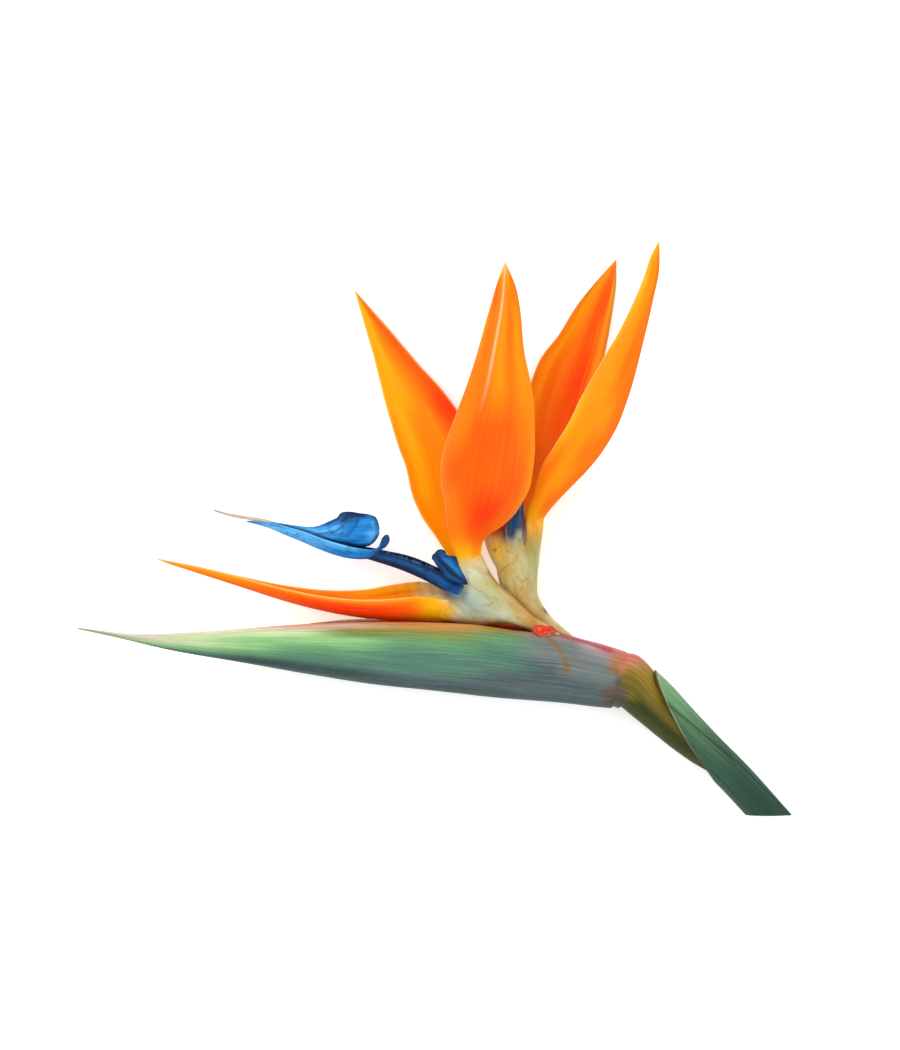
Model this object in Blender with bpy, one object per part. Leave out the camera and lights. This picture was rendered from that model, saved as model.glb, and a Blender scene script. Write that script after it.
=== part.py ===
"""A cut bird of paradise flower that lies on its side.

X runs towards the stalk, Y up the flower, and Z away from the surface that it lies on. The flower's
middle plane is level with that surface. Lengths are in millimetres until a mesh is made.

A sepal or petal is a blade: a midrib curve, and two halves that leave it. A half's margin stands off
the midrib by a width, level with the surface, and by a lift, away from it. Widths and lifts are given
as (share of the length, millimetres) pairs, and bow is how far a half bulges, as a share of its width.
"""

import math

import bpy
import numpy as np

MM = 0.001
UP = np.array([0.0, 0.0, 1.0])

MIDDLE = 10.8  # height of the flower's middle plane
CUT_Y = -95.25  # where the stalk was cut across
GAP = 0.35  # left between pieces that touch
SEPAL_THICKNESS = 0.9
PETAL_THICKNESS = 0.7
SPATHE_WALL = 1.1
SHEATH_WALL = 0.75
BLADE_ROWS = 17
HALF_COLUMNS = 3
RING_POINTS = 16
SPATHE_ROWS = 18
SPATHE_HALF_COLUMNS = 7


# ---------------------------------------------------------------- curves


def hermite(knots, values, slopes, at):
    """The cubic curve with these values and slopes at the knots, read at the places in at."""
    i = np.clip(np.searchsorted(knots, at, side="right") - 1, 0, len(knots) - 2)
    span = knots[i + 1] - knots[i]
    u = (at - knots[i]) / span
    if values.ndim > 1:
        span, u = span[:, None], u[:, None]
    return (
        values[i] * (1 + 2 * u) * (1 - u) ** 2
        + slopes[i] * span * u * (1 - u) ** 2
        + values[i + 1] * (3 - 2 * u) * u**2
        + slopes[i + 1] * span * (u - 1) * u**2
    )


def curve(points, at):
    """A smooth curve through the points, read at shares of its length."""
    points = np.array(points, float)
    knots = np.concatenate([[0], np.cumsum(np.linalg.norm(np.diff(points, axis=0), axis=1))])
    knots /= knots[-1]
    return hermite(knots, points, np.gradient(points, knots, axis=0), at)


def profile(pairs, at):
    """A smooth line through (place, value) pairs that never passes the values on either side."""
    knots, values = np.array(pairs, float).T
    rise = np.diff(values) / np.diff(knots)
    before, after = rise[:-1], rise[1:]
    same_way = before * after > 0
    inner = np.where(same_way, 2 * before * after / np.where(same_way, before + after, 1), 0)
    return hermite(knots, values, np.concatenate([[rise[0]], inner, [rise[-1]]]), at)


def centre_and_side(points, at):
    """Places on a curve through the points, and the level direction to the left of its run there."""
    along = curve(points, at + 0.001) - curve(points, at - 0.001)
    side = np.stack([-along[:, 1], along[:, 0], np.zeros(len(at))], axis=1)
    return curve(points, at), side / np.linalg.norm(side, axis=1)[:, None]


def normals(grid):
    """Unit normals of a grid of points, from its rows and columns."""
    n = np.cross(np.gradient(grid, axis=1), np.gradient(grid, axis=0))
    return n / np.linalg.norm(n, axis=2)[:, :, None]


# ---------------------------------------------------------------- meshes


def material(name, colour, roughness):
    made = bpy.data.materials.new(name)
    made.use_nodes = True
    shader = made.node_tree.nodes["Principled BSDF"]
    shader.inputs["Base Color"].default_value = (*colour, 1)
    shader.inputs["Roughness"].default_value = roughness
    shader.inputs["Metallic"].default_value = 0
    made.diffuse_color = (*colour, 1)
    return made


def add_object(name, points, faces, finish):
    mesh = bpy.data.meshes.new(name)
    mesh.from_pydata((np.array(points) * MM).tolist(), [], faces)
    if finish:
        mesh.materials.append(finish)
    mesh.shade_smooth()
    mesh.set_sharp_from_angle(angle=math.radians(45))
    made = bpy.data.objects.new(name, mesh)
    bpy.context.scene.collection.objects.link(made)
    return made


def quads(rows, columns, start, flip, wrap=False):
    """Faces over a grid whose points are numbered from start, row by row."""
    faces = []
    for r in range(rows - 1):
        for c in range(columns if wrap else columns - 1):
            d = (c + 1) % columns
            a, b = start + r * columns, start + (r + 1) * columns
            face = (a + c, a + d, b + d, b + c)
            faces.append(face[::-1] if flip else face)
    return faces


def sheet_solid(name, front, back, finish):
    """A closed sheet between two grids.

    Seen from outside, the front's columns run right as its rows run up.
    """
    rows, columns = front.shape[:2]
    n = rows * columns
    faces = quads(rows, columns, 0, False) + quads(rows, columns, n, True)
    for r in range(rows - 1):
        low, high = r * columns, (r + 1) * columns
        faces.append((low, high, n + high, n + low))
        low, high = low + columns - 1, high + columns - 1
        faces.append((high, low, n + low, n + high))
    for c in range(columns - 1):
        faces.append((c + 1, c, n + c, n + c + 1))
        c += (rows - 1) * columns
        faces.append((c, c + 1, n + c + 1, n + c))
    points = np.concatenate([front.reshape(-1, 3), back.reshape(-1, 3)])
    return add_object(name, points, faces, finish)


def rod_solid(name, rings, finish):
    """A closed rod over a row of rings."""
    rows, columns = rings.shape[:2]
    n = rows * columns
    faces = quads(rows, columns, 0, False, wrap=True)
    last = n - columns
    for c in range(columns):
        d = (c + 1) % columns
        faces.append((d, c, n))
        faces.append((last + c, last + d, n + 1))
    points = np.concatenate([rings.reshape(-1, 3), [rings[0].mean(axis=0), rings[-1].mean(axis=0)]])
    return add_object(name, points, faces, finish)


def sleeve_solid(name, outer, inner, finish):
    """A closed sleeve between outer and inner rings."""
    rows, columns = outer.shape[:2]
    n = rows * columns
    faces = quads(rows, columns, 0, False, wrap=True) + quads(rows, columns, n, True, wrap=True)
    last = n - columns
    for c in range(columns):
        d = (c + 1) % columns
        faces.append((d, c, n + c, n + d))
        faces.append((last + c, last + d, n + last + d, n + last + c))
    points = np.concatenate([outer.reshape(-1, 3), inner.reshape(-1, 3)])
    return add_object(name, points, faces, finish)


def clear_of(piece, cutter):
    """Cuts the piece back from a hidden shape that is a gap larger than its neighbour."""
    cut = piece.modifiers.new("clear", "BOOLEAN")
    cut.operation = "DIFFERENCE"
    cut.solver = "EXACT"
    cut.object = cutter


# ---------------------------------------------------------------- forms


def half_blade(centre, side, at, half, columns):
    """The points of one half of a blade, from the midrib outwards."""
    width = profile(half["width"], at)
    lift = profile(half["lift"], at)
    bow = profile(half["bow"], at) if isinstance(half["bow"], list) else half["bow"]
    chord = side * width[:, None] + UP * lift[:, None]
    bulge = (UP * width[:, None] - side * lift[:, None]) * np.reshape(2 * bow, (-1, 1))
    handle = centre + chord / 2 + bulge
    u = np.linspace(0, 1, columns + 1)[None, :, None]
    return (
        centre[:, None] * (1 - u) ** 2
        + handle[:, None] * 2 * u * (1 - u)
        + (centre + chord)[:, None] * u**2
    )


def blade_grid(midrib, left, right, rows, columns=HALF_COLUMNS):
    """The middle surface of a blade: rows from base to tip, columns from left margin to right margin."""
    at = np.linspace(0, 1, rows)
    centre, side = centre_and_side(midrib, at)
    halves = []
    if left:
        halves.append(half_blade(centre, side, at, left, columns)[:, ::-1])
    if right:
        halves.append(half_blade(centre, -side, at, right, columns)[:, 1 if left else 0 :])
    return np.concatenate(halves, axis=1)


def blade(name, midrib, left, right, thickness, finish, rows=BLADE_ROWS):
    """A blade of this thickness, thinner towards its margins and where it is narrow."""
    grid = blade_grid(midrib, left, right, rows)
    reach = np.linalg.norm(np.diff(grid, axis=1), axis=2).sum(axis=1)
    across = np.linspace(-1, 1, grid.shape[1])
    thick = np.minimum(thickness, 0.5 * reach)[:, None] * (1 - 0.45 * across**4)[None, :]
    offset = normals(grid) * thick[:, :, None] / 2
    return sheet_solid(name, grid + offset, grid - offset, finish)


def ring_angles():
    return np.linspace(0, 2 * math.pi, RING_POINTS, endpoint=False)


def rings(route, across, depth, shares, start=0.0, end=1.0):
    """Oval rings along a route: across is the level half-width and depth the upright one.

    shares places the rings between start and end. Those are places on the route, one value each or one for
    each angle of a ring.
    """
    angle = ring_angles()
    at = (start + (end - start) * shares[:, None] + 0 * angle).ravel()
    centre, side = centre_and_side(route, at)
    level = profile(across, at) * np.tile(np.cos(angle), len(shares))
    upright = profile(depth, at) * np.tile(np.sin(angle), len(shares))
    points = centre + side * level[:, None] + UP * upright[:, None]
    return points.reshape(len(shares), RING_POINTS, 3)


def grown(pairs, by):
    return [(at, value + by) for at, value in pairs]


def limb(name, route, across, depth, finish, rows=14):
    """A rod with oval sections along a route."""
    return rod_solid(name, rings(route, across, depth, np.linspace(0, 1, rows)), finish)


def clearance(name, route, across, depth):
    """A hidden rod, larger than the limb on this route by the gap all round and at its ends."""
    points = np.array(route, float)
    before, after = points[0] - points[1], points[-1] - points[-2]
    points[0] += GAP * before / np.linalg.norm(before)
    points[-1] += GAP * after / np.linalg.norm(after)
    cutter = limb(f"{name}_clearance", points, grown(across, GAP), grown(depth, GAP), None)
    cutter.hide_render = True
    cutter.display_type = "WIRE"
    return cutter


def placed(points, move):
    """Points turned about the Z axis, scaled and moved, as move says."""
    if move is None:
        return points
    points = np.array(points, float) - move["pivot"]
    c, s = math.cos(math.radians(move["turn"])), math.sin(math.radians(move["turn"]))
    turned = points @ np.array([[c, s, 0], [-s, c, 0], [0, 0, 1]])
    return (turned * move["scale"] + move["to"]).tolist()


def scaled(half, by):
    """A half whose widths and lifts are scaled."""
    return {
        "width": [(t, w * by) for t, w in half["width"]],
        "lift": [(t, z * by) for t, z in half["lift"]],
        "bow": half["bow"],
    }


# ---------------------------------------------------------------- stalk, sheath and spathe

STALK_ROUTE = [
    (52.0, -48.4, 10.8),
    (57.0, -49.1, 10.8),
    (61.6, -50.1, 10.8),
    (65.9, -52.2, 10.7),
    (69.8, -56.1, 10.4),
    (78.8, -64.4, 9.5),
    (87.4, -72.3, 8.6),
    (95.3, -78.2, 7.8),
    (113.7, -97.9, 6.0),
]
STALK_ACROSS = [
    (0, 6.0), (0.11, 7.3), (0.125, 9.5), (0.17, 9.0), (0.21, 7.8),
    (0.25, 7.3), (0.4, 6.5), (0.55, 5.5), (0.67, 4.7), (1, 4.4),
]
STALK_DEPTH = [
    (0, 6.0), (0.11, 7.3), (0.125, 9.5), (0.17, 8.9), (0.21, 7.9),
    (0.25, 7.1), (0.4, 5.9), (0.55, 5.0), (0.67, 4.6), (1, 4.4),
]
STALK_RINGS = np.concatenate([[0, 0.08, 0.112], np.linspace(0.125, 1, 17)])
SHEATH_ROUTE = [
    (67.6, -53.6, 10.5),
    (72.4, -57.4, 10.2),
    (79.6, -63.8, 9.5),
    (88.0, -71.7, 8.6),
    (95.3, -78.2, 7.8),
    (113.7, -97.9, 6.0),
]
SHEATH_RADIUS = [(0, 9.0), (0.1, 8.35), (0.25, 7.3), (0.43, 6.5), (0.58, 5.9), (1, 5.72)]
SHEATH_RINGS = np.linspace(0, 1, 9)
SHEATH_RIM = 0.62  # share of the sheath's route over which its open end slants
RIM_LEAN = 1.35  # over 1, the rim runs straighter along the side that faces away from the surface
STALK_CUT = 0.09  # share of the route over which the cut slants
SHEATH_CUT = 0.14


def cut_across(grid, route):
    """Slides the points of the last ring along the route until they lie on the cut."""
    along = curve(route, np.array([0.95, 1.0]))
    along = along[1] - along[0]
    grid[-1] += (CUT_Y - grid[-1][:, 1])[:, None] / along[1] * along
    return grid


def flower_stalk(finish):
    end = 1 - STALK_CUT * (1 - np.cos(ring_angles())) / 2
    grid = rings(STALK_ROUTE, STALK_ACROSS, STALK_DEPTH, STALK_RINGS, end=end)
    return rod_solid("flower_stalk", cut_across(grid, STALK_ROUTE), finish)


def stalk_sheath(finish):
    """A leaf rolled round the stalk. Its open end slants from the top of the bend to the underside."""
    start = SHEATH_RIM * ((1 - np.cos(ring_angles())) / 2) ** RIM_LEAN
    end = 1 - SHEATH_CUT * (1 - np.cos(ring_angles())) / 2
    walls = []
    for wall in (0, SHEATH_WALL):
        radius = grown(SHEATH_RADIUS, -wall)
        grid = rings(SHEATH_ROUTE, radius, radius, SHEATH_RINGS, start, end)
        walls.append(cut_across(grid, SHEATH_ROUTE))
    return sleeve_solid("stalk_sheath", *walls, finish)


SPATHE_TIP, SPATHE_END = -119.3, 60.9
SPATHE_SLANT = [(-119.3, 0), (30, 0), (60.9, 5.0)]  # how far a row's margins are ahead of its keel
SPATHE_KEEL = [
    (-119.3, -33.1), (-95, -38.3), (-62, -44.8), (-28.7, -50.3),
    (4.7, -54.1), (38, -57.4), (54, -58.9), (60.9, -59.4),
]
SPATHE_NEAR_MARGIN = [
    (-119.3, -32.6),
    (-98, -34.7),
    (-75, -33.8),
    (-45, -32.2),
    (-12, -31.5),
    (11, -32.2),
    (26, -34.6),
    (40, -34.6),
    (51, -37.2),
    (60.9, -40.6),
]
SPATHE_FAR_MARGIN = [
    (-119.3, -32.6),
    (-98, -34.5),
    (-75, -33.2),
    (-45, -31.3),
    (-28, -30.2),
    (11, -32.4),
    (30, -34.2),
    (42, -33.1),
    (51, -36.4),
    (60.9, -40.0),
]
SPATHE_HALF_THICKNESS = [
    (-119.3, 0.35), (-98, 1.9), (-62, 5.6), (-28, 8.4), (12, 10.2), (40, 10.55), (60.9, 9.6),
]
SPATHE_MOUTH = [
    (-119.3, 0.2), (-70, 0.5), (-40, 1.2), (-20, 3.6), (5, 6.2), (38, 7.2), (52, 3.5), (60.9, 0.45),
]


def spathe_half(x, margin, outwards):
    """Half of the spathe from keel to margin: each row is an oval arc that ends at the mouth."""
    keel_y = profile(SPATHE_KEEL, x)
    margin_y = profile(margin, x)
    thickness = profile(SPATHE_HALF_THICKNESS, x)
    mouth = profile(SPATHE_MOUTH, x)
    belly = thickness * 4 / 3 - mouth / 6
    u = np.linspace(0, 1, SPATHE_HALF_COLUMNS + 1)[None, :]
    rise = 3 * u**2 * (1 - u) + u**3
    y = keel_y[:, None] + (margin_y - keel_y)[:, None] * rise
    z = belly[:, None] * 3 * u * (1 - u) + mouth[:, None] * u**3
    ahead = profile(SPATHE_SLANT, x)[:, None] * (rise - 0.5)
    return np.stack([x[:, None] + ahead, y, MIDDLE + outwards * z], axis=2)


def spathe(finish):
    """The beak: one leaf folded along its keel, open along the top where the florets come out."""
    x = SPATHE_TIP + (SPATHE_END - SPATHE_TIP) * np.linspace(0, 1, SPATHE_ROWS)
    near = spathe_half(x, SPATHE_NEAR_MARGIN, 1)
    far = spathe_half(x, SPATHE_FAR_MARGIN, -1)
    outer = np.concatenate([near[:, ::-1], far[:, 1:]], axis=1)
    wall = np.minimum(SPATHE_WALL, 0.45 * profile(SPATHE_HALF_THICKNESS, x))[:, None, None]
    inner = outer - normals(outer) * wall
    return sheet_solid("spathe", outer, inner, finish)


# ---------------------------------------------------------------- florets

FIRST_BASE = {
    "route": [
        (49.5, -44.5, 13.2),
        (43.0, -39.0, 13.8),
        (37.0, -34.0, 14.4),
        (31.3, -31.2, 14.6),
        (26.3, -28.2, 14.2),
        (21.3, -25.4, 13.6),
        (15.0, -22.0, 13.0),
        (8.4, -19.4, 12.4),
    ],
    "across": [(0, 2.0), (0.3, 2.1), (0.47, 2.3), (0.59, 3.2), (0.7, 4.8), (0.83, 7.8), (1, 9.8)],
    "depth": [(0, 2.0), (0.3, 2.2), (0.47, 2.6), (0.7, 4.2), (0.9, 5.0), (1, 4.6)],
}
SECOND_BASE = {
    "route": [
        (50.5, -43.0, 8.2),
        (46.3, -38.6, 7.7),
        (40.2, -33.4, 7.4),
        (34.5, -28.9, 7.6),
        (30.6, -24.4, 8.4),
        (27.9, -19.5, 9.2),
        (26.4, -12.5, 10.2),
        (26.0, -1.0, 11.0),
    ],
    "across": [(0, 2.0), (0.3, 2.1), (0.45, 3.1), (0.57, 4.3), (0.68, 5.9), (0.8, 7.0), (1, 7.6)],
    "depth": [(0, 2.0), (0.3, 2.2), (0.45, 2.9), (0.62, 4.2), (0.8, 5.2), (1, 4.8)],
}

FIRST_NEAR_SEPAL = {
    "midrib": [
        (13.2, -19.0, 15.0),
        (11.6, -11.5, 17.8),
        (11.0, -3.3, 21.6),
        (14.9, 9.9, 28.5),
        (17.8, 26.3, 33.5),
        (20.4, 42.6, 36.0),
        (21.3, 58.9, 37.0),
        (22.5, 75.3, 36.6),
        (22.7, 87.6, 35.6),
    ],
    "left": {
        "width": [
            (0, 2.6), (0.07, 3.6), (0.14, 6.2), (0.26, 13.0), (0.37, 15.6),
            (0.57, 12.3), (0.75, 7.2), (0.92, 3.2), (1, 0.15),
        ],
        "lift": [(0, -0.8), (0.14, -1.8), (0.35, -7.0), (0.6, -5.0), (1, -0.05)],
        "bow": 0.12,
    },
    "right": {
        "width": [
            (0, 2.6), (0.07, 3.6), (0.14, 6.2), (0.26, 13.0), (0.4, 15.6),
            (0.57, 12.3), (0.75, 7.6), (0.92, 3.9), (1, 0.15),
        ],
        "lift": [(0, -0.8), (0.14, -1.8), (0.35, -7.0), (0.6, -5.0), (1, -0.05)],
        "bow": 0.12,
    },
}
FIRST_FAR_SEPAL = {
    "midrib": [
        (10.5, -18.0, 8.0),
        (9.0, -11.5, 7.4),
        (8.0, -3.3, 6.8),
        (6.3, 10.0, 5.2),
        (3.0, 26.8, 3.6),
        (-3.7, 40.9, 2.4),
        (-11.1, 51.6, 1.6),
        (-17.1, 61.0, 1.1),
        (-27.2, 80.2, 0.5),
    ],
    "left": {
        "width": [
            (0, 2.5), (0.07, 3.6), (0.14, 6.9), (0.24, 12.2), (0.33, 14.2),
            (0.46, 14.3), (0.6, 12.0), (0.72, 7.5), (0.82, 4.0), (1, 0.12),
        ],
        "lift": [(0, 1.0), (0.3, 3.0), (0.46, 3.4), (0.72, 1.6), (1, 0.02)],
        "bow": -0.09,
    },
    "right": {
        "width": [
            (0, 2.4), (0.1, 3.0), (0.2, 5.0), (0.3, 8.0), (0.46, 9.6),
            (0.6, 7.8), (0.72, 6.3), (0.82, 4.8), (1, 0.12),
        ],
        "lift": [(0, 1.0), (0.3, 2.2), (0.46, 3.0), (0.72, 2.4), (1, 0.02)],
        "bow": -0.09,
    },
}
FIRST_KEEL_SEPAL = {
    "midrib": [
        (12.5, -28.2, 10.8),
        (6.3, -29.3, 10.8),
        (-2.0, -30.1, 10.8),
        (-12.0, -30.2, 10.8),
        (-26.0, -28.7, 10.8),
        (-38.7, -26.3, 10.9),
        (-52.0, -22.8, 11.2),
        (-65.3, -18.5, 11.6),
        (-78.6, -14.2, 12.0),
        (-93.2, -9.5, 12.6),
    ],
    "left": {
        "width": [
            (0, -3.5), (0.08, -10.5), (0.17, -13.0), (0.24, -12.2), (0.36, -8.8),
            (0.48, -6.4), (0.62, -4.4), (0.75, -2.9), (0.87, -1.8), (1, -0.12),
        ],
        "lift": [(0, -2.0), (0.17, -4.6), (0.36, -4.2), (0.62, -2.4), (1, -0.05)],
        "bow": 0.16,
    },
    "right": {
        "width": [
            (0, 3.0), (0.08, 6.5), (0.17, 8.2), (0.24, 7.4), (0.36, 5.6),
            (0.48, 4.4), (0.62, 3.5), (0.75, 2.7), (0.87, 1.7), (1, 0.12),
        ],
        "lift": [(0, 2.0), (0.17, 4.8), (0.36, 4.6), (0.62, 2.6), (1, 0.05)],
        "bow": 0.16,
    },
}
SECOND_NEAR_SEPAL = {
    "midrib": [
        (31.5, -6.0, 12.5),
        (33.8, 0.6, 14.0),
        (36.4, 5.2, 15.4),
        (39.7, 9.3, 16.8),
        (47.9, 18.2, 19.4),
        (54.4, 26.5, 21.4),
        (59.0, 32.4, 22.4),
        (63.2, 43.0, 23.4),
        (67.4, 57.8, 24.0),
        (70.6, 74.2, 24.2),
        (73.6, 86.4, 24.0),
        (73.4, 95.25, 23.8),
    ],
    "left": {
        "width": [
            (0, 2.5), (0.07, 4.6), (0.13, 7.0), (0.22, 12.2), (0.36, 13.9), (0.46, 14.8),
            (0.6, 12.2), (0.72, 8.0), (0.85, 4.3), (0.93, 2.8), (1, 0.12),
        ],
        "lift": [(0, 0.8), (0.2, 2.2), (0.46, 2.6), (0.72, 1.4), (1, 0.02)],
        "bow": 0.16,
    },
    "right": {
        "width": [
            (0, -1.5), (0.07, -2.4), (0.22, -6.6), (0.46, -8.5), (0.72, -4.6), (0.9, -1.8), (1, -0.12),
        ],
        "lift": [
            (0, -1.2), (0.07, -2.2), (0.22, -5.0), (0.46, -8.0), (0.72, -4.8), (0.9, -2.0), (1, -0.05),
        ],
        "bow": 0.12,
    },
}
SECOND_FAR_SEPAL = {
    "midrib": [
        (29.5, -7.5, 8.6),
        (31.4, 0.0, 7.6),
        (36.4, 16.7, 5.4),
        (39.1, 28.4, 4.0),
        (42.2, 40.2, 2.9),
        (45.5, 50.9, 2.2),
        (49.9, 62.0, 1.6),
        (53.6, 72.1, 1.2),
        (57.3, 82.2, 0.9),
        (60.4, 90.7, 0.5),
    ],
    "left": {
        "width": [
            (0, 2.0), (0.1, 3.0), (0.24, 8.0), (0.36, 11.0), (0.48, 12.7),
            (0.59, 12.3), (0.7, 9.6), (0.81, 7.3), (0.92, 3.4), (1, 0.12),
        ],
        "lift": [(0, 0.6), (0.24, 1.6), (0.48, 2.6), (0.7, 1.8), (1, 0.02)],
        "bow": -0.07,
    },
    "right": {
        "width": [
            (0, 2.0), (0.1, 2.6), (0.24, 6.0), (0.36, 8.0), (0.48, 9.0),
            (0.59, 8.7), (0.7, 7.3), (0.81, 5.3), (0.92, 2.9), (1, 0.12),
        ],
        "lift": [(0, 0.6), (0.24, 1.8), (0.48, 3.4), (0.7, 3.0), (1, 0.02)],
        "bow": -0.09,
    },
}
SECOND_KEEL_SEPAL = {
    "midrib": [
        (21.5, -10.5, 12.6),
        (18.2, -4.0, 13.8),
        (15.2, 4.5, 14.8),
        (13.0, 16.5, 15.4),
        (12.6, 30.0, 15.6),
        (13.8, 43.0, 15.8),
        (15.8, 56.0, 16.0),
        (18.4, 68.0, 16.4),
    ],
    "left": {
        "width": [(0, -1.5), (0.12, -4.6), (0.3, -7.4), (0.5, -6.6), (0.75, -3.4), (1, -0.12)],
        "lift": [(0, -0.8), (0.3, -3.6), (0.5, -3.4), (0.75, -2.0), (1, -0.05)],
        "bow": 0.14,
    },
    "right": {
        "width": [(0, 1.5), (0.12, 4.4), (0.3, 7.0), (0.5, 6.2), (0.75, 3.2), (1, 0.12)],
        "lift": [(0, 0.8), (0.3, 3.6), (0.5, 3.4), (0.75, 2.0), (1, 0.05)],
        "bow": 0.14,
    },
}

# The arrow is two petals joined edge to edge: each has a narrow claw, and a blade with a lobe.
ARROW_KEEL = [
    (10.0, -24.5, 10.8),
    (4.5, -21.6, 10.8),
    (-2.0, -17.7, 10.8),
    (-12.0, -13.1, 10.8),
    (-18.7, -10.8, 10.8),
    (-26.0, -9.1, 10.9),
    (-32.0, -8.4, 11.0),
    (-38.7, -6.8, 11.2),
    (-45.3, -4.4, 11.4),
    (-52.0, -1.4, 11.6),
    (-58.7, 1.3, 11.8),
    (-63.0, 2.8, 11.9),
]
ARROW_NEAR_HALF = {
    "width": [
        (0, 4.5), (0.1, 4.6), (0.2, 4.4), (0.33, 3.5), (0.42, 2.6),
        (0.5, 3.2), (0.62, 4.0), (0.78, 3.4), (0.92, 1.6), (1, 0.3),
    ],
    "lift": [(0, 0.5), (0.33, 0.5), (0.42, 2.2), (0.52, 4.4), (0.7, 3.4), (0.9, 1.2), (1, 0.12)],
    "bow": [(0, 0.34), (0.33, 0.34), (0.5, 0.26), (1, 0.2)],
}
ARROW_FAR_HALF = {
    "width": [
        (0, -4.2), (0.1, -4.8), (0.2, -5.2), (0.33, -4.0), (0.41, -4.2), (0.45, -9.5), (0.48, -13.2),
        (0.55, -13.9), (0.61, -11.4), (0.67, -8.6), (0.75, -5.9), (0.85, -3.9), (0.93, -2.3), (1, -0.3),
    ],
    "lift": [(0, -0.5), (0.33, -0.5), (0.42, -2.6), (0.5, -4.0), (0.64, -3.0), (0.9, -1.0), (1, -0.12)],
    "bow": [(0, 0.34), (0.33, 0.34), (0.45, 0.2), (1, 0.2)],
}
ARROW_ROWS = 24
ARROW_SEAM = 0.7  # between the two petals at the keel
FIRST_SMALL_PETAL = {
    "midrib": [(10.3, -19.8, 14.2), (6.8, -15.4, 14.9), (3.4, -11.2, 14.7), (0.3, -7.9, 13.8)],
    "left": {
        "width": [(0, 0.5), (0.35, 2.2), (0.75, 2.4), (1, 0.7)],
        "lift": [(0, -0.2), (0.6, -1.3), (1, -0.4)],
        "bow": 0.12,
    },
    "right": {
        "width": [(0, 0.5), (0.3, 3.0), (0.7, 3.0), (1, 0.7)],
        "lift": [(0, -0.2), (0.6, -1.5), (1, -0.4)],
        "bow": 0.12,
    },
}
SECOND_SMALL_PETAL = {
    "midrib": [(25.6, -6.0, 16.2), (26.6, 0.5, 18.0), (27.4, 6.0, 19.0), (28.6, 11.4, 19.2)],
    "left": {
        "width": [(0, 1.0), (0.4, 2.3), (0.75, 1.6), (1, 0.3)],
        "lift": [(0, -0.3), (0.5, -1.0), (1, -0.1)],
        "bow": 0.1,
    },
    "right": {
        "width": [(0, 1.0), (0.4, 1.9), (0.75, 1.5), (1, 0.3)],
        "lift": [(0, -0.3), (0.5, -1.4), (1, -0.1)],
        "bow": 0.1,
    },
}
STYLE_ROUTE = [
    (-50.0, 0.9, 11.8), (-58.0, 3.3, 12.2), (-65.3, 4.4, 12.5), (-70.0, 5.4, 12.7), (-74.0, 6.6, 12.9),
]
STYLE_RADIUS = [(0, 0.45), (0.6, 0.45), (1, 0.2)]
SECOND_ARROW = {"pivot": (6.3, -22.3, 10.8), "turn": -67.0, "scale": 0.84, "to": (23.6, -5.5, 13.4)}
SECOND_ARROW_WIDTH = 0.74


def arrow_petals(prefix, cutter, finish, move=None, by=1.0):
    """The two joined petals, near and far, cut back from the base that they grow from."""
    for which, offset, left, right in (
        ("near", ARROW_SEAM / 2, None, ARROW_NEAR_HALF),
        ("far", -ARROW_SEAM / 2, ARROW_FAR_HALF, None),
    ):
        keel = placed([(x, y, z + offset) for x, y, z in ARROW_KEEL], move)
        left = left and scaled(left, by)
        right = right and scaled(right, by)
        name = f"{prefix}_arrow_petal_{which}"
        clear_of(blade(name, keel, left, right, PETAL_THICKNESS, finish, ARROW_ROWS), cutter)


def leaf(name, shape, thickness, cutter, finish):
    clear_of(blade(name, shape["midrib"], shape["left"], shape["right"], thickness, finish), cutter)


def base(name, shape, finish):
    """A floret's fleshy base, and the hidden shape that its sepals and petals are cut back from."""
    limb(name, shape["route"], shape["across"], shape["depth"], finish)
    return clearance(name, shape["route"], shape["across"], shape["depth"])


def first_floret(orange, blue, cream, white):
    cutter = base("first_floret_base", FIRST_BASE, cream)
    leaf("first_floret_near_sepal", FIRST_NEAR_SEPAL, SEPAL_THICKNESS, cutter, orange)
    leaf("first_floret_far_sepal", FIRST_FAR_SEPAL, SEPAL_THICKNESS, cutter, orange)
    leaf("first_floret_keel_sepal", FIRST_KEEL_SEPAL, SEPAL_THICKNESS, cutter, orange)
    arrow_petals("first_floret", cutter, blue)
    leaf("first_floret_small_petal", FIRST_SMALL_PETAL, PETAL_THICKNESS, cutter, blue)
    limb("first_floret_style", STYLE_ROUTE, STYLE_RADIUS, STYLE_RADIUS, white, rows=6)


def second_floret(orange, blue, cream, white):
    cutter = base("second_floret_base", SECOND_BASE, cream)
    leaf("second_floret_near_sepal", SECOND_NEAR_SEPAL, SEPAL_THICKNESS, cutter, orange)
    leaf("second_floret_far_sepal", SECOND_FAR_SEPAL, SEPAL_THICKNESS, cutter, orange)
    leaf("second_floret_keel_sepal", SECOND_KEEL_SEPAL, SEPAL_THICKNESS, cutter, orange)
    arrow_petals("second_floret", cutter, blue, SECOND_ARROW, SECOND_ARROW_WIDTH)
    leaf("second_floret_small_petal", SECOND_SMALL_PETAL, PETAL_THICKNESS, cutter, blue)
    route = placed(STYLE_ROUTE[:-1], SECOND_ARROW)
    limb("second_floret_style", route, STYLE_RADIUS, STYLE_RADIUS, white, rows=5)


def sap_drop(finish):
    """A bead of sap at the mouth of the spathe."""
    route = [(32.0, -33.6, 19.2), (35.7, -33.5, 19.8), (39.4, -33.4, 19.2)]
    swell = [(0, 0.3), (0.2, 1.4), (0.5, 1.8), (0.8, 1.4), (1, 0.3)]
    limb("sap_drop", route, swell, [(t, 0.7 * r) for t, r in swell], finish, rows=7)


def clear_scene():
    for old in list(bpy.data.objects):
        bpy.data.objects.remove(old)


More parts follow.
